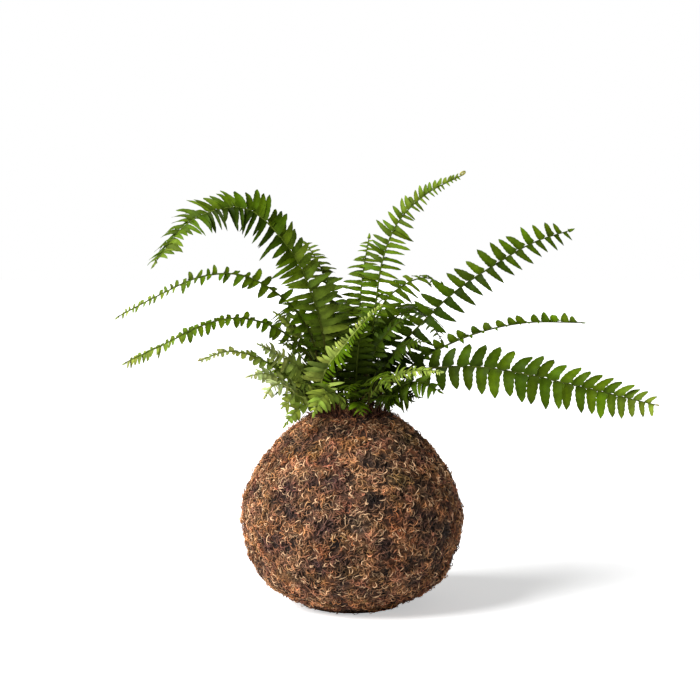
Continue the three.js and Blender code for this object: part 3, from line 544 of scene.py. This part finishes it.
def tube_faces(count, steps):
    """Quads and end triangles of count tubes with steps rings of three corners each."""
    sides = [(3 * k + c, 3 * k + (c + 1) % 3) for k in range(steps - 1) for c in range(3)]
    quads = np.array([(a, b, b + 3, a + 3) for a, b in sides])
    ends = np.array([(2, 1, 0), (3 * steps - 3, 3 * steps - 2, 3 * steps - 1)])
    offset = (np.arange(count) * 3 * steps)[:, None, None]
    return [(quads + offset).reshape(-1, 4), (ends + offset).reshape(-1, 3)]


LOWEST = 0.05  # no strand goes under the floor


def tubes(name, path, radius, up, tint, material):
    """Three-sided tubes along the paths as one mesh. tint has one colour for each path, or for each ring."""
    count, steps = radius.shape
    rings = tube_rings(path, radius, up)
    rings[..., 2] = rings[..., 2].clip(LOWEST)
    tint = np.broadcast_to(tint[:, :, None, :], (count, steps, 3, 3)).reshape(-1, 3)
    return make_mesh(name, rings.reshape(-1, 3), tube_faces(count, steps), material, tint)


STRAND_ZONES = [(0.0, 0.3, 3700), (0.3, 0.5, 4200), (0.5, 0.72, 4400), (0.72, 1.0, 3800)]
STRAND_SEED = 100
STRAND_STEPS = 6
STRAND_PITCH = (0.85, 1.65)
STRAND_RADIUS = (0.22, 0.44)
STRAND_BEND = 0.5
STRAND_KINK = 0.65
STRAND_TONE = (0.62, 1.5)
LOW_ARCH = (0.0, 1.6)  # how far a strand's middle stands out
HIGH_ARCH = (1.8, 3.0)
HIGH_SHARE = 0.06
PALE_SHARE = 0.16
PALE_FIBRE = colour(240, 196, 150)


def strands(name, count, lowest, highest, seed, material):
    """Kinky strands matted over the ball between two shares of its outline."""
    rng = np.random.default_rng(seed)
    # Even over the surface: the chance of a height goes with the ball's radius there.
    tries = rng.uniform(lowest, highest, count * 4)
    there = np.interp(tries * OUTLINE_STEPS, np.arange(OUTLINE_STEPS + 1), OUTLINE[:, 0])
    at = tries[rng.uniform(0, OUTLINE[:, 0].max(), len(tries)) < there][:count]
    count = len(at)
    turn = rng.uniform(0, 2 * np.pi, count)
    root, normal = ball_points(at, turn)
    rise = relief(root)
    first = np.stack([-np.sin(turn), np.cos(turn), np.zeros(count)], axis=-1)
    second = np.cross(normal, first)

    step = rng.uniform(*STRAND_PITCH, count)
    bend = rng.normal(0, STRAND_BEND, count)
    heading = rng.uniform(0, 2 * np.pi, count)
    a, b = np.zeros((count, STRAND_STEPS)), np.zeros((count, STRAND_STEPS))
    for k in range(1, STRAND_STEPS):
        heading = heading + bend + rng.normal(0, STRAND_KINK, count)
        a[:, k] = a[:, k - 1] + step * np.cos(heading)
        b[:, k] = b[:, k - 1] + step * np.sin(heading)
    a -= a.mean(axis=1, keepdims=True)
    b -= b.mean(axis=1, keepdims=True)
    t = np.arange(STRAND_STEPS) / (STRAND_STEPS - 1)
    high = rng.uniform(0, 1, count) < HIGH_SHARE
    peak = np.where(high, rng.uniform(*HIGH_ARCH, count), rng.uniform(*LOW_ARCH, count))
    height = -0.8 + (peak + 0.8)[:, None] * np.sin(np.pi * (0.15 + 0.7 * t))
    height = height + rng.normal(0, 0.18, (count, STRAND_STEPS))
    away = (a**2 + b**2) / 150
    path = (root[:, None] + a[..., None] * first[:, None] + b[..., None] * second[:, None]
            + (height - away + (rise * RELIEF + MAT_DEPTH + 0.5)[:, None])[..., None] * normal[:, None])
    radius = rng.uniform(*STRAND_RADIUS, count)[:, None] * (0.5 + 0.5 * np.sin(np.pi * (0.1 + 0.8 * t)))

    tone = patch_tones(root) * rng.uniform(*STRAND_TONE, (count, 1)) * (1 + rng.normal(0, 0.05, (count, 3)))
    pale = rng.uniform(0, 1, count) < PALE_SHARE
    tone[pale] = mix(tone[pale], PALE_FIBRE, 0.7)
    # Painted shade and highlight: a strand is darker where it dips into the mat and over the ball's hollows,
    # and lighter where it arches out over the lumps.
    depth = np.clip(0.5 + 0.42 * height + 0.34 * rise[:, None], 0.06, 1.35)
    return tubes(name, path, radius, normal, tone[:, None] * depth[..., None], material)


CROWN_GRID = (120, 34)  # points round it, and rings
CROWN_GRAIN = 1.3


def crown_dome(material):
    """The brown mat in the mouth that the stalks rise from."""
    steps, rows = CROWN_GRID
    turn = np.linspace(0, 2 * np.pi, steps, endpoint=False)
    floor = CROWN_FLOOR + 2 * GAP
    rings = [ring(CROWN_RADIUS, floor, turn)]
    for k in range(rows):
        share = 1 - k / rows
        level = ring(CROWN_RADIUS * share, mix(CROWN_TOP, CROWN_EDGE, share**2), turn)
        level[:, 2] += np.array([noise.fractal(Vector(p * 0.35), 0.8, 2.0, 4) for p in level]) * CROWN_GRAIN
        rings.append(level)
    points, quads, ends = closed(rings, (0, 0, floor), (0, 0, CROWN_TOP))
    return make_mesh("crown_mat_piece", points, [quads, ends], material)


BRISTLES = 900
BRISTLE_SEED = 7
BRISTLE_STEPS = 7
BRISTLE_LENGTH = (4, 12)
BRISTLE_RADIUS = (0.18, 0.45)
LYING_SHARE = 0.4
BRISTLE_TONES = np.array([colour(112, 60, 38), colour(70, 36, 24), colour(182, 126, 84), colour(136, 80, 50)])
TONE_CHANCES = [0.3, 0.2, 0.3, 0.2]


def bristles(name, count, seed, material):
    """Wiry brown scales, runners and old stalk stubs between the mouth's rim and the stalks."""
    rng = np.random.default_rng(seed)
    radius = CROWN_RADIUS * np.sqrt(rng.uniform(0.1, 1.2, count))
    turn = rng.uniform(0, 2 * np.pi, count)
    out = np.stack([np.cos(turn), np.sin(turn), np.zeros(count)], axis=-1)
    upper = OUTLINE[OUTLINE_STEPS // 2:][::-1]
    ground = np.where(radius > CROWN_RADIUS, np.interp(radius, upper[:, 0], upper[:, 1]),
                      mix(CROWN_TOP, CROWN_EDGE, (radius / CROWN_RADIUS).clip(0, 1) ** 2))
    root = out * radius[:, None]
    root[:, 2] = ground - 1.5
    t = np.arange(BRISTLE_STEPS) / (BRISTLE_STEPS - 1)
    length = rng.uniform(*BRISTLE_LENGTH, count) * np.where(radius > 0.85 * CROWN_RADIUS, 0.5, 1)
    spread = np.where(rng.uniform(0, 1, count) < LYING_SHARE, 3, 1)
    lean = rng.normal(0.1, 0.5, count) * spread
    around = np.cross(UP, out)
    sway = rng.normal(0, 0.5, count) * spread
    curl = rng.normal(0, 2.4, (count, 2))
    way = unit(UP + lean[:, None] * out + sway[:, None] * around)
    path = (root[:, None] + (length[:, None] * t)[..., None] * way[:, None]
            + (curl[:, :1] * t**2)[..., None] * out[:, None]
            + (curl[:, 1:] * np.sin(3.6 * t))[..., None] * around[:, None])
    thick = rng.uniform(*BRISTLE_RADIUS, count)[:, None] * (1 - 0.65 * t)
    tone = BRISTLE_TONES[rng.choice(len(BRISTLE_TONES), count, p=TONE_CHANCES)]
    return tubes(name, path, thick, out + 0.01, tone[:, None], material)


# ---- A frond's line ----

RIB_SPAN = 48  # points from one point of a route to the next


class Rib:
    """The rib's centre line, with the blade's frame at any share of its length."""

    def __init__(self, foot, heading, route, roll):
        turn = math.radians(heading)
        self.out = np.array([math.cos(turn), math.sin(turn), 0])
        self.across = np.array([-math.sin(turn), math.cos(turn), 0])
        self.roll = roll
        self.foot = np.array([*foot, 0.0])
        self.line = self.smooth([(0, STALK_FREE), *route])
        self.way = distances(self.line)
        self.length = self.way[-1]
        self.tangents = unit(np.gradient(self.line, self.way, axis=0))

    def smooth(self, route):
        """A centripetal Catmull-Rom curve through [reach, height] points."""
        p = np.array([self.foot + self.out * r + UP * z for r, z in route])
        p = np.vstack([2 * p[0] - p[1], p, 2 * p[-1] - p[-2]])
        t = np.linspace(0, 1, RIB_SPAN, endpoint=False)[:, None]
        runs = []
        for a, b, c, d in zip(p, p[1:], p[2:], p[3:]):
            da, db, dc = (math.sqrt(np.linalg.norm(y - x)) for x, y in ((a, b), (b, c), (c, d)))
            u = ((b - a) / da - (c - a) / (da + db) + (c - b) / db) * db
            v = ((c - b) / db - (d - b) / (db + dc) + (d - c) / dc) * db
            runs.append(between(b, c, u, v, t))
        return np.vstack([*runs, p[-2:-1]])

    def frame(self, share):
        way = share * self.length
        centre, along = (np.array([np.interp(way, self.way, axis) for axis in values.T])
                         for values in (self.line, self.tangents))
        return self.turned(centre, unit(along), share)

    def upright(self, height):
        return self.turned(self.foot + UP * height, UP, 0)

    def turned(self, centre, along, share):
        angle = math.radians(mix(*self.roll, share))
        across = self.across * math.cos(angle) + np.cross(along, self.across) * math.sin(angle)
        return dict(centre=centre, along=along, across=across, normal=np.cross(along, across))


def station(i, n, bare, crowd):
    t = i / n
    return bare + (1 - bare) * (t + crowd / 2 * (t - t * t)) * TIP_GAP


def profile(values, t):
    """The value at a share of the way through evenly spaced ones, or the one value for all."""
    return float(np.interp(t, np.linspace(0, 1, np.size(values)), np.atleast_1d(values)))


def leaf_share(t, taper, tip):
    return mix(0.55, 1, min(1, t / 0.18)) * (1 - t**taper * (1 - tip))


CROWN_MIDDLE = np.array([0, 4, 160])
CROWN_REACH = 75


def inner_shade(place):
    """Painted shade: leaflets deep in the crown are darker, shaded by the fronds round them."""
    away = np.linalg.norm(place - CROWN_MIDDLE) / CROWN_REACH
    return mix(0.2, 1, min(1, max(0, 1.5 * away - 0.22)))


def leaf_direction(f, side, sweep, tilt):
    sweep, tilt = math.radians(sweep), math.radians(tilt)
    out = f["across"] * side * math.cos(tilt) + f["normal"] * math.sin(tilt)
    return unit(out * math.cos(sweep) + f["along"] * math.sin(sweep) - UP * HANG)


def leaf_width_line(f, direction, side, level):
    """The line across a leaflet: along the rib, turned by level, 0 to 1, so that its face looks up."""
    face = unit(np.cross(f["along"], direction)) * side
    level *= max(0, 1 - 1.2 * abs(direction[2]))
    light = UP if face[2] >= 0 else -UP
    light = unit(light - direction * light.dot(direction))
    turned = unit(mix(face, light, level))
    angle = math.atan2(np.cross(face, turned).dot(direction), face.dot(turned))
    line = f["along"]
    return (line * math.cos(angle) + np.cross(direction, line) * math.sin(angle)
            + direction * direction.dot(line) * (1 - math.cos(angle)))


# ---- Room between the fronds ----

CLEARANCE = 0.8  # also the size of the cells that are taken
SAMPLE = 1.0  # between the points that stand for a leaflet
TILTS = (0, 16, -16, 32, -32)
SHORTER = (1, 0.75, 0.55)
AROUND = [(x, y, z) for x in (-1, 0, 1) for y in (-1, 0, 1) for z in (-1, 0, 1)]
taken = {}


def cells(points):
    return [tuple(c) for c in np.floor(points / CLEARANCE).astype(int).tolist()]


def claim(points, owner):
    for cell in cells(points):
        taken.setdefault(cell, set()).add(owner)


def is_free(points, owner):
    """Whether no other frond has a point in or next to the points' cells, and the ball is clear too."""
    low = points[points[:, 2] < CROWN_TOP + 1]
    for p in low:
        if math.hypot(p[0], p[1]) < ball_radius(p[2]) + CLEARANCE:
            return False
    for x, y, z in set(cells(points)):
        for dx, dy, dz in AROUND:
            owners = taken.get((x + dx, y + dy, z + dz))
            if owners and (len(owners) > 1 or owner not in owners):
                return False
    return True


def leaf_samples(root, direction, along, length, half):
    t = np.arange(SAMPLE, length, SAMPLE) / length
    reach = half * np.sqrt(1 - np.abs(2 * t - 0.9).clip(0, 1) ** 2.5)
    lines = []
    for k in (-1, -0.5, 0, 0.5, 1):
        lines.append(root + direction * (length * t)[:, None] + along * (k * reach)[:, None])
    return np.vstack(lines)


def fitted(owner, f, side, length, width, sweep, lift, level):
    """The direction, width line and size nearest to the wished ones that clear the other fronds, or None."""
    for share in SHORTER:
        for tilt in TILTS:
            direction = leaf_direction(f, side, sweep, lift + tilt)
            line = leaf_width_line(f, direction, side, level)
            points = leaf_samples(f["centre"], direction, line, length * share, width / 2)
            if is_free(points, owner):
                claim(points, owner)
                return direction, line, length * share, width * mix(1, share, 0.5)
    return None


# ---- Leaflets and ribs as fine meshes ----

OLD_LEAF = colour(40, 57, 0)
MID_LEAF = colour(73, 96, 4)
NEW_LEAF = colour(134, 150, 60)
PALE_LEAF = colour(184, 192, 128)
UNDERSIDE = colour(80, 98, 28)
STALK_BROWN = colour(64, 38, 24)
RIB_GREEN = colour(66, 72, 26)
CROZIER = colour(186, 172, 96)

LEAF_COLUMNS = np.array([-1, -0.55, 0, 0.55, 1])
COLUMN_THICKNESS = np.array([0, 1, 1.6, 1, 0])
HALF_THICKNESS = 0.13
EDGE_THICKNESS = 0.02
TOOTH = 0.055
EAR = 0.45
SHARP_EDGE = 50


def leaf_tone(age):
    """Old, middle, new and pale leaf colours in turn as age goes from 0 to 1.5."""
    tones = np.array([OLD_LEAF, MID_LEAF, NEW_LEAF, PALE_LEAF])
    return np.array([np.interp(age, (0, 0.5, 1, 1.5), tones[:, k]) for k in range(3)])


# Half widths of a leaflet along its length, for a blunt one and for a pointed one.
LEAF_STATIONS = [0, 0.04, 0.1, 0.2, 0.4, 0.6, 0.8, 0.93, 1]
BLUNT_LEAF = [0.6, 0.86, 0.98, 1, 1, 0.95, 0.78, 0.46, 0.08]
POINTED_LEAF = [0.6, 0.9, 1.02, 1, 0.88, 0.68, 0.4, 0.18, 0.03]


def leaflet(root, direction, line, side, length, width, point, tone, seed):
    """One leaflet: eared at its foot, finely toothed, folded a little along its midrib, its tip hanging."""
    rows = 12 if length > 9 else 9 if length > 5 else 7
    t = np.linspace(0, 1, rows) ** 1.15
    face = unit(np.cross(line, direction)) * side
    blunt, pointed = (np.interp(t, LEAF_STATIONS, shape) for shape in (BLUNT_LEAF, POINTED_LEAF))
    half = width / 2 * mix(blunt, pointed, point)
    teeth = 1 + TOOTH * np.where(np.arange(rows) % 2, 1, -1)
    curve = mix(0.07, 0.17, point) + 0.05 * wobble(seed, 1, 4)
    droop = 0.12 + 0.09 * wobble(seed, 2, 5)
    twist = 0.3 * wobble(seed, 3, 6)
    fold = 0.2 + 0.1 * wobble(seed, 4, 7)
    spine = (root + direction * (length * t)[:, None] + line * (length * curve * t**2)[:, None]
             - UP * (length * droop * t**2)[:, None] + face * (0.06 * length * np.sin(np.pi * t))[:, None])
    j = LEAF_COLUMNS[None, :]
    ear = 1 + EAR * np.exp(-(((t - 0.1) / 0.07) ** 2))[:, None] * (j > 0)
    across = j * half[:, None] * np.where(np.abs(j) == 1, teeth[:, None], 1) * ear
    wave = 0.06 * width * np.sin(t[:, None] * 9 + seed + j * 1.5) * np.abs(j)
    rise = fold * np.abs(j) * half[:, None] * (1.35 - 0.35 * np.abs(j)) + wave + twist * t[:, None] * across
    top = spine[:, None] + line * across[..., None] + face * rise[..., None]
    thick = HALF_THICKNESS * np.sin(np.pi * (0.04 + 0.92 * t))[:, None] * COLUMN_THICKNESS + EDGE_THICKNESS
    upper = top + face * thick[..., None]
    lower = (top - face * thick[..., None])[1:-1, 1:-1]

    columns = len(LEAF_COLUMNS)
    up = np.arange(rows * columns).reshape(rows, columns)
    down = up.copy()
    inner = down[1:-1, 1:-1]
    inner[:] = rows * columns + np.arange(inner.size).reshape(inner.shape)
    quads = []
    for grid, turned in ((up, side < 0), (down, side > 0)):
        q = np.stack([grid[:-1, :-1], grid[:-1, 1:], grid[1:, 1:], grid[1:, :-1]], axis=-1).reshape(-1, 4)
        quads.append(q if turned else q[:, ::-1])

    vary = 1 + 0.28 * wobble(seed, 5, 8)
    base = tone * vary * np.array([1 + 0.1 * wobble(seed, 6, 9), 1, 1])
    t = t[:, None]
    # Lighter along the midrib, its paler vein, and towards the tip; lighter towards the edges, a painted
    # highlight; darker at the foot, painted shade where the leaflets crowd at the rib.
    light = 1 + 0.35 * np.exp(-((j / 0.25) ** 2)) * (1 - 0.5 * t) + 0.12 * np.abs(j) + 0.2 * t**2
    light = light * mix(0.62, 1, np.minimum(1, t / 0.3))
    upper_tint = base * light[..., None]
    lower_tint = mix(upper_tint, UNDERSIDE, 0.3)[1:-1, 1:-1]
    points = np.vstack([upper.reshape(-1, 3), lower.reshape(-1, 3)])
    tints = np.vstack([upper_tint.reshape(-1, 3), lower_tint.reshape(-1, 3)])
    return points, tints, np.vstack(quads), ()


RIB_SIDES = 8
CHANNEL = 0.6  # the radius at the channel, as a share of the rest


def rib_tube(frames, radii, tints):
    """The rib: a round tube with a shallow channel along its upper side."""
    turn = np.linspace(0, 2 * np.pi, RIB_SIDES, endpoint=False) + np.pi / 2
    shape = np.where(np.arange(RIB_SIDES) == 0, CHANNEL, 1.0)
    rings = []
    for f, radius in zip(frames, radii):
        outward = f["across"] * np.cos(turn)[:, None] + f["normal"] * np.sin(turn)[:, None]
        rings.append(f["centre"] + outward * (radius * shape)[:, None])
    points, quads, ends = closed(rings, frames[0]["centre"], frames[-1]["centre"])
    tint = np.vstack([np.repeat(tints, RIB_SIDES, axis=0), tints[:1], tints[-1:]])
    return points, tint, quads, ends


COIL_TURNS = 1.3
COIL_STEPS = 22


def crozier(f, size, tone):
    """The coiled tip of a young frond, covered with pale scales."""
    turns = np.linspace(0, 2 * COIL_TURNS * np.pi, COIL_STEPS)
    reach = size * (1 - 0.62 * turns / turns[-1])
    curl = f["normal"] if f["normal"][2] > 0 else -f["normal"]
    centre = f["centre"] + curl * size
    line = [centre + (f["along"] * math.sin(a) - curl * math.cos(a)) * r for a, r in zip(turns, reach)]
    frames = []
    for k, point in enumerate(line):
        along = unit(line[min(k + 1, len(line) - 1)] - line[max(k - 1, 0)])
        frames.append(dict(centre=point, across=f["across"], normal=np.cross(along, f["across"])))
    bulge = mix(0.28, 0.42, np.sin(np.pi * turns / turns[-1]))
    radii = size**0.5 * bulge * np.linspace(1.15, 0.7, COIL_STEPS)
    return rib_tube(frames, radii, np.tile(mix(tone, CROZIER, 0.6), (COIL_STEPS, 1)))


RIB_STEPS = 40
RIB_RADII = (0.9, 0.4)
STALK_RADIUS = 0.95
STALK_STEP = 7  # from its foot to the next ring


def frond(number, rib, leaf, count, age, up, down=None, bare=BARE, taper=TAPER, tip=LAST_LEAF, lift=0,
          crowd=TIP_CROWDING, dense=1.0, wild=1.0, fresh=0.1, coil=0, point=0):
    """The parts of one frond on its rib, from the values that are explained above FRONDS."""
    down = down or up
    pitch = (1 - bare) / count
    bare *= 0.5
    count = round((1 - bare) / pitch * dense)
    shares = [station(i, count, bare, crowd) for i in range(count + 1)]
    tone = leaf_tone(age)
    # The rib, from its foot in the crown to the tip.
    rib_shares = np.linspace(0, 1, RIB_STEPS)
    stalk = [rib.upright(STALK_FOOT), rib.upright(STALK_FOOT + STALK_STEP)]
    frames = stalk + [rib.frame(s) for s in rib_shares]
    radii = np.concatenate([[STALK_RADIUS] * 2, mix(*RIB_RADII, rib_shares)])
    green = np.clip((rib_shares - 0.02) / 0.3, 0, 1)[:, None]
    rib_tone = mix(RIB_GREEN, tone, min(1, 0.2 + 0.7 * age))
    tints = np.vstack([STALK_BROWN, STALK_BROWN, mix(STALK_BROWN, rib_tone, green)])
    parts = [rib_tube(frames, radii, tints)]

    def wished(i, side):
        """A leaflet's middle, rib frame, lean, length, slimness, level, point and age shift, painted shade
        below zero.
        """
        stray = 0.2 * wild * wobble(number, i, 7)
        f = rib.frame(mix(shares[i], shares[i + 1], 0.5 + stray))
        t = (i + 0.5) / count
        lean, tip_lean, slim, level, size, *own = up if f["across"][2] * side > 0 else down
        size = profile(size, t)
        sweep = mix(lean, tip_lean, t)
        slim = profile(slim, t) * mix(0.75, 1, min(1, t / 0.4))
        length = max(SHORTEST, leaf * leaf_share(t, taper, tip) * size) if size > 0.1 else 0
        middle = f["centre"] + leaf_direction(f, side, sweep, lift) * length * 0.5
        # The age shift makes leaflets newer and paler above zero, and darker below zero, which is painted
        # shade.
        tipped, age_and_shade_shift = own or (point, 0)
        return middle, f, sweep, length, slim, level * (1 - 0.6 * t * t), tipped, profile(age_and_shade_shift, t)

    for i in range(count):
        side = -1 if i % 2 else 1
        middle, f, sweep, length, slim, level, tipped, age_and_shade_shift = wished(i, side)
        if not length:
            continue
        near = [wished(k, side)[0] for k in (i - 2, i + 2) if 0 <= k < count]
        room = min(np.linalg.norm(middle - other) for other in near)
        length *= 1 + 0.08 * wild * wobble(number, i, 1)
        width = min(room * 1.35, max(slim * length, 1.6))
        found = fitted(number, f, side, length, width, sweep + 4 * wild * wobble(number, i, 2),
                       lift + 9 * wild * wobble(number, i, 3), level)
        if found:
            t = (i + 0.5) / count
            direction, line, length, width = found
            # Painted shade deep in the crown, which young fronds get less of.
            green = leaf_tone(age + age_and_shade_shift + fresh * t * t) * mix(inner_shade(f["centre"]), 1, min(1, age**2))
            parts.append(leaflet(f["centre"], direction, line, side, length, width, tipped, green,
                                 number * 50 + i))

    # The last leaflet goes on where the rib ends, or the tip is still coiled.
    end = rib.frame(1)
    if coil:
        return [*parts, crozier(end, coil, leaf_tone(age + 0.4))]
    length = max(4, 0.34 * leaf)
    last = leaflet(end["centre"] - end["along"], end["along"], end["across"], 1, length, length * 0.45, point,
                   leaf_tone(age + fresh), number)
    return [*parts, last]


# Fronds deep in the crown that show only between the others: foot, heading, route and leaflet length. Those
# from CLUSTER_START on are young ones with round leaflets, in the cluster low on the left.
CLUSTER_START = 14
DEEP_FRONDS = [
    ((13.2, -1.1), 32, [(3, 160), (9, 185.5), (19, 205), (34, 212)], 17),
    ((12.3, -7.5), 337, [(4, 158), (13, 173.5), (26, 188.5), (42, 192)], 16),
    ((-13.6, 8), 168, [(3, 160), (9, 179.5), (20, 202.5), (34, 216.5)], 16),
    ((0.8, 0.8), 333, [(2, 162), (6, 185.5), (13, 209.5), (22, 220)], 16),
    ((-11.1, -8), 205, [(4, 157), (13, 175.5), (27, 190.5), (42, 193)], 14),
    ((-20.3, -5.2), 205, [(5, 152), (14, 166.5), (27, 173.5), (42, 177)], 12),
    ((-24.7, -14.4), 220, [(5, 149), (14, 157), (26, 162), (38, 156)], 11),
    ((23.7, 1), 312, [(5, 154.5), (14, 158), (23, 160), (31, 160.5)], 12),
    ((16.2, -20.1), 316, [(3, 152.5), (8, 153.5), (14, 154), (18, 154.5)], 12),
    ((17.7, -3.2), 5, [(5, 156), (15, 163.5), (25, 169.5), (33, 172.5)], 13),
    ((5.2, -13), 356, [(6, 154), (19, 155.5), (32, 154.5), (42, 152)], 13),
    ((-11.4, 4.4), 178, [(5, 160), (13, 176), (25, 185.5), (40, 188.5)], 12),
    ((-12.8, 12.5), 166, [(5, 162), (12, 180.5), (24, 193), (38, 201)], 13),
    ((11.4, 9.9), 32, [(5, 160), (14, 168), (26, 178.5), (40, 180)], 13),
    ((-20.4, 5.6), 207, [(4, 160), (13, 173.5), (22, 183.5), (29, 188)], 10),
    ((-17.6, -11.9), 196, [(7, 156), (20, 162.5), (33, 166.5), (44, 167.5)], 10),
    ((-21.7, -0.7), 164, [(5, 156.5), (15, 164.5), (25, 170.5), (34, 174)], 10),
    ((-21.5, -8.3), 220, [(5, 154), (15, 157), (25, 157), (33, 155.5)], 9),
    ((-15, 3.7), 190, [(6, 164.5), (17, 186), (29, 202), (40, 211)], 11),
]


# An age of 0.05 gives the deep fronds nearly the oldest, darkest tone: partly their age, partly painted shade
# deep in the crown.
DEEP = dict(point=0.8, age=0.05, up=(0, 15, 0.36, 0.4, 1))
YOUNG = dict(age=0.85, up=(15, 20, 0.8, 0.1, 1))
UNDER_COUNT = 64
UNDER_SEED = 21
UNDER_LEAF = (10, 15)
UNDER_REACH = (30, 52)
SPIRAL = 137.5  # degrees from one frond to the next


def understory(first_number):
    """Short fronds that fill the crown between the named ones, from low and flat outside to steep inside."""
    parts = []
    rng = np.random.default_rng(UNDER_SEED)
    for k, (foot, heading, route, leaf) in enumerate(DEEP_FRONDS):
        number = first_number + UNDER_COUNT + k
        young = k >= CLUSTER_START
        rib = Rib(foot, heading, route, (-50, -45) if young else (30, 30))
        claim(rib.line[::2], number)
        parts += frond(number, rib, leaf, 26, bare=0.08, dense=1.3, **(YOUNG if young else DEEP))
    for k in range(UNDER_COUNT):
        number = first_number + k
        inward = (k + 0.5) / UNDER_COUNT
        heading = k * SPIRAL + rng.uniform(-12, 12)
        foot = mix(24, 6, inward) * rng.uniform(0.85, 1.1)
        turn = math.radians(heading)
        rise = math.radians(mix(28, 74, inward) + rng.uniform(-8, 8))
        reach = rng.uniform(*UNDER_REACH) * mix(0.9, 1.35, inward)
        route = [(reach * s * math.cos(rise) + 3, STALK_FREE + 4 + reach * (s * math.sin(rise) - 0.35 * s**3))
                 for s in (0.15, 0.45, 0.75, 1)]
        rib = Rib((foot * math.cos(turn), foot * math.sin(turn)), heading + rng.uniform(-25, 25), route,
                  (rng.uniform(-40, 40), rng.uniform(-40, 40)))
        if not is_free(rib.line[6::2], number):
            continue
        claim(rib.line[::2], number)
        leaf, age = rng.uniform(*UNDER_LEAF), rng.uniform(0, 0.55)
        parts += frond(number, rib, leaf, 22, age, (10, 25, 0.4, 0.2, 1), bare=0.1, taper=2.5, point=0.6)
    return parts


# ---- The object ----


def put(piece, slot, *nodes):
    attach(piece, "root")
    if nodes:
        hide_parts(*nodes)


def build_ball():
    fibre = fibre_material()
    put(fibre_ball(ball_material()), "fibre", "fibre_wrap")
    for k, (low, high, count) in enumerate(STRAND_ZONES):
        put(strands(f"fibre_strands_{k}", count, low, high, STRAND_SEED + k, fibre), "fibre")
    put(crown_dome(crown_material()), "crown", "crown")
    put(bristles("crown_bristles", BRISTLES, BRISTLE_SEED, fibre), "crown")
    soil = bpy.data.objects["soil_ball"]
    soil.data.materials.clear()
    soil.data.materials.append(soil_material())


def build_fronds():
    old = leaf_material("fern_leaf", 0.55)
    young = leaf_material("young_fern_leaf", 0.6)
    ribs = {name: Rib(*row[:4]) for name, row in FRONDS.items()}
    for number, rib in enumerate(ribs.values()):
        claim(rib.line[::2], number)
    # Those in front come first, so that they get the room they wish for.
    for name in sorted(FRONDS, key=lambda name: not name.startswith("front")):
        node = f"frond_{name}"
        slot = next(p["material_slot"] for p in frame["record"]["subparts"] if p["node"] == node)
        *_, leaf, count, age, looks = FRONDS[name]
        parts = frond(list(FRONDS).index(name), ribs[name], leaf, count, age, **looks)
        put(joined(f"fine_{name}", parts, young if slot == "young" else old, SHARP_EDGE), slot, node)
    put(joined("fine_understory", understory(len(FRONDS)), old, SHARP_EDGE), "leaf")


def build_stage():
    bpy.ops.mesh.primitive_plane_add(size=FLOOR_SIZE, location=(0, 0, 0))
    floor = bpy.context.object
    floor.name = "floor"
    floor.data.materials.append(floor_material())


def build_light():
    """One broad key from the upper left, and a pale room that looks white behind the object."""
    world = bpy.data.worlds.new("studio")
    world.use_nodes = True
    tree = world.node_tree
    background = tree.nodes["Background"]
    background.inputs["Color"].default_value = (1, 1, 1, 1)
    seen = tree.nodes.new("ShaderNodeLightPath").outputs["Is Camera Ray"]
    strength = tree.nodes.new("ShaderNodeMapRange")
    tree.links.new(seen, strength.inputs["Value"])
    strength.inputs["To Min"].default_value = ROOM_LIGHT
    tree.links.new(strength.outputs["Result"], background.inputs["Strength"])
    bpy.context.scene.world = world
    data = bpy.data.lights.new("key", "SUN")
    data.energy, data.angle = KEY_LIGHT, math.radians(KEY_SPREAD)
    add_object("key", data).rotation_euler = (-Vector(KEY_FROM)).to_track_quat("-Z", "Y").to_euler()
    bpy.context.scene.view_settings.view_transform = "Standard"


def build_camera():
    data = bpy.data.cameras.new("camera")
    data.lens, data.sensor_width = CAMERA_LENS, CAMERA_SENSOR
    camera = add_object("camera", data)
    lift = math.radians(CAMERA_ELEVATION)
    target = Vector(CAMERA_TARGET)
    place = target + Vector((0, -math.cos(lift), math.sin(lift))) * CAMERA_DISTANCE
    camera.location = place * MM
    camera.rotation_euler = (target - place).to_track_quat("-Z", "Y").to_euler()
    bpy.context.scene.camera = camera


build_camera()
build_light()
build_stage()
build_ball()
build_fronds()
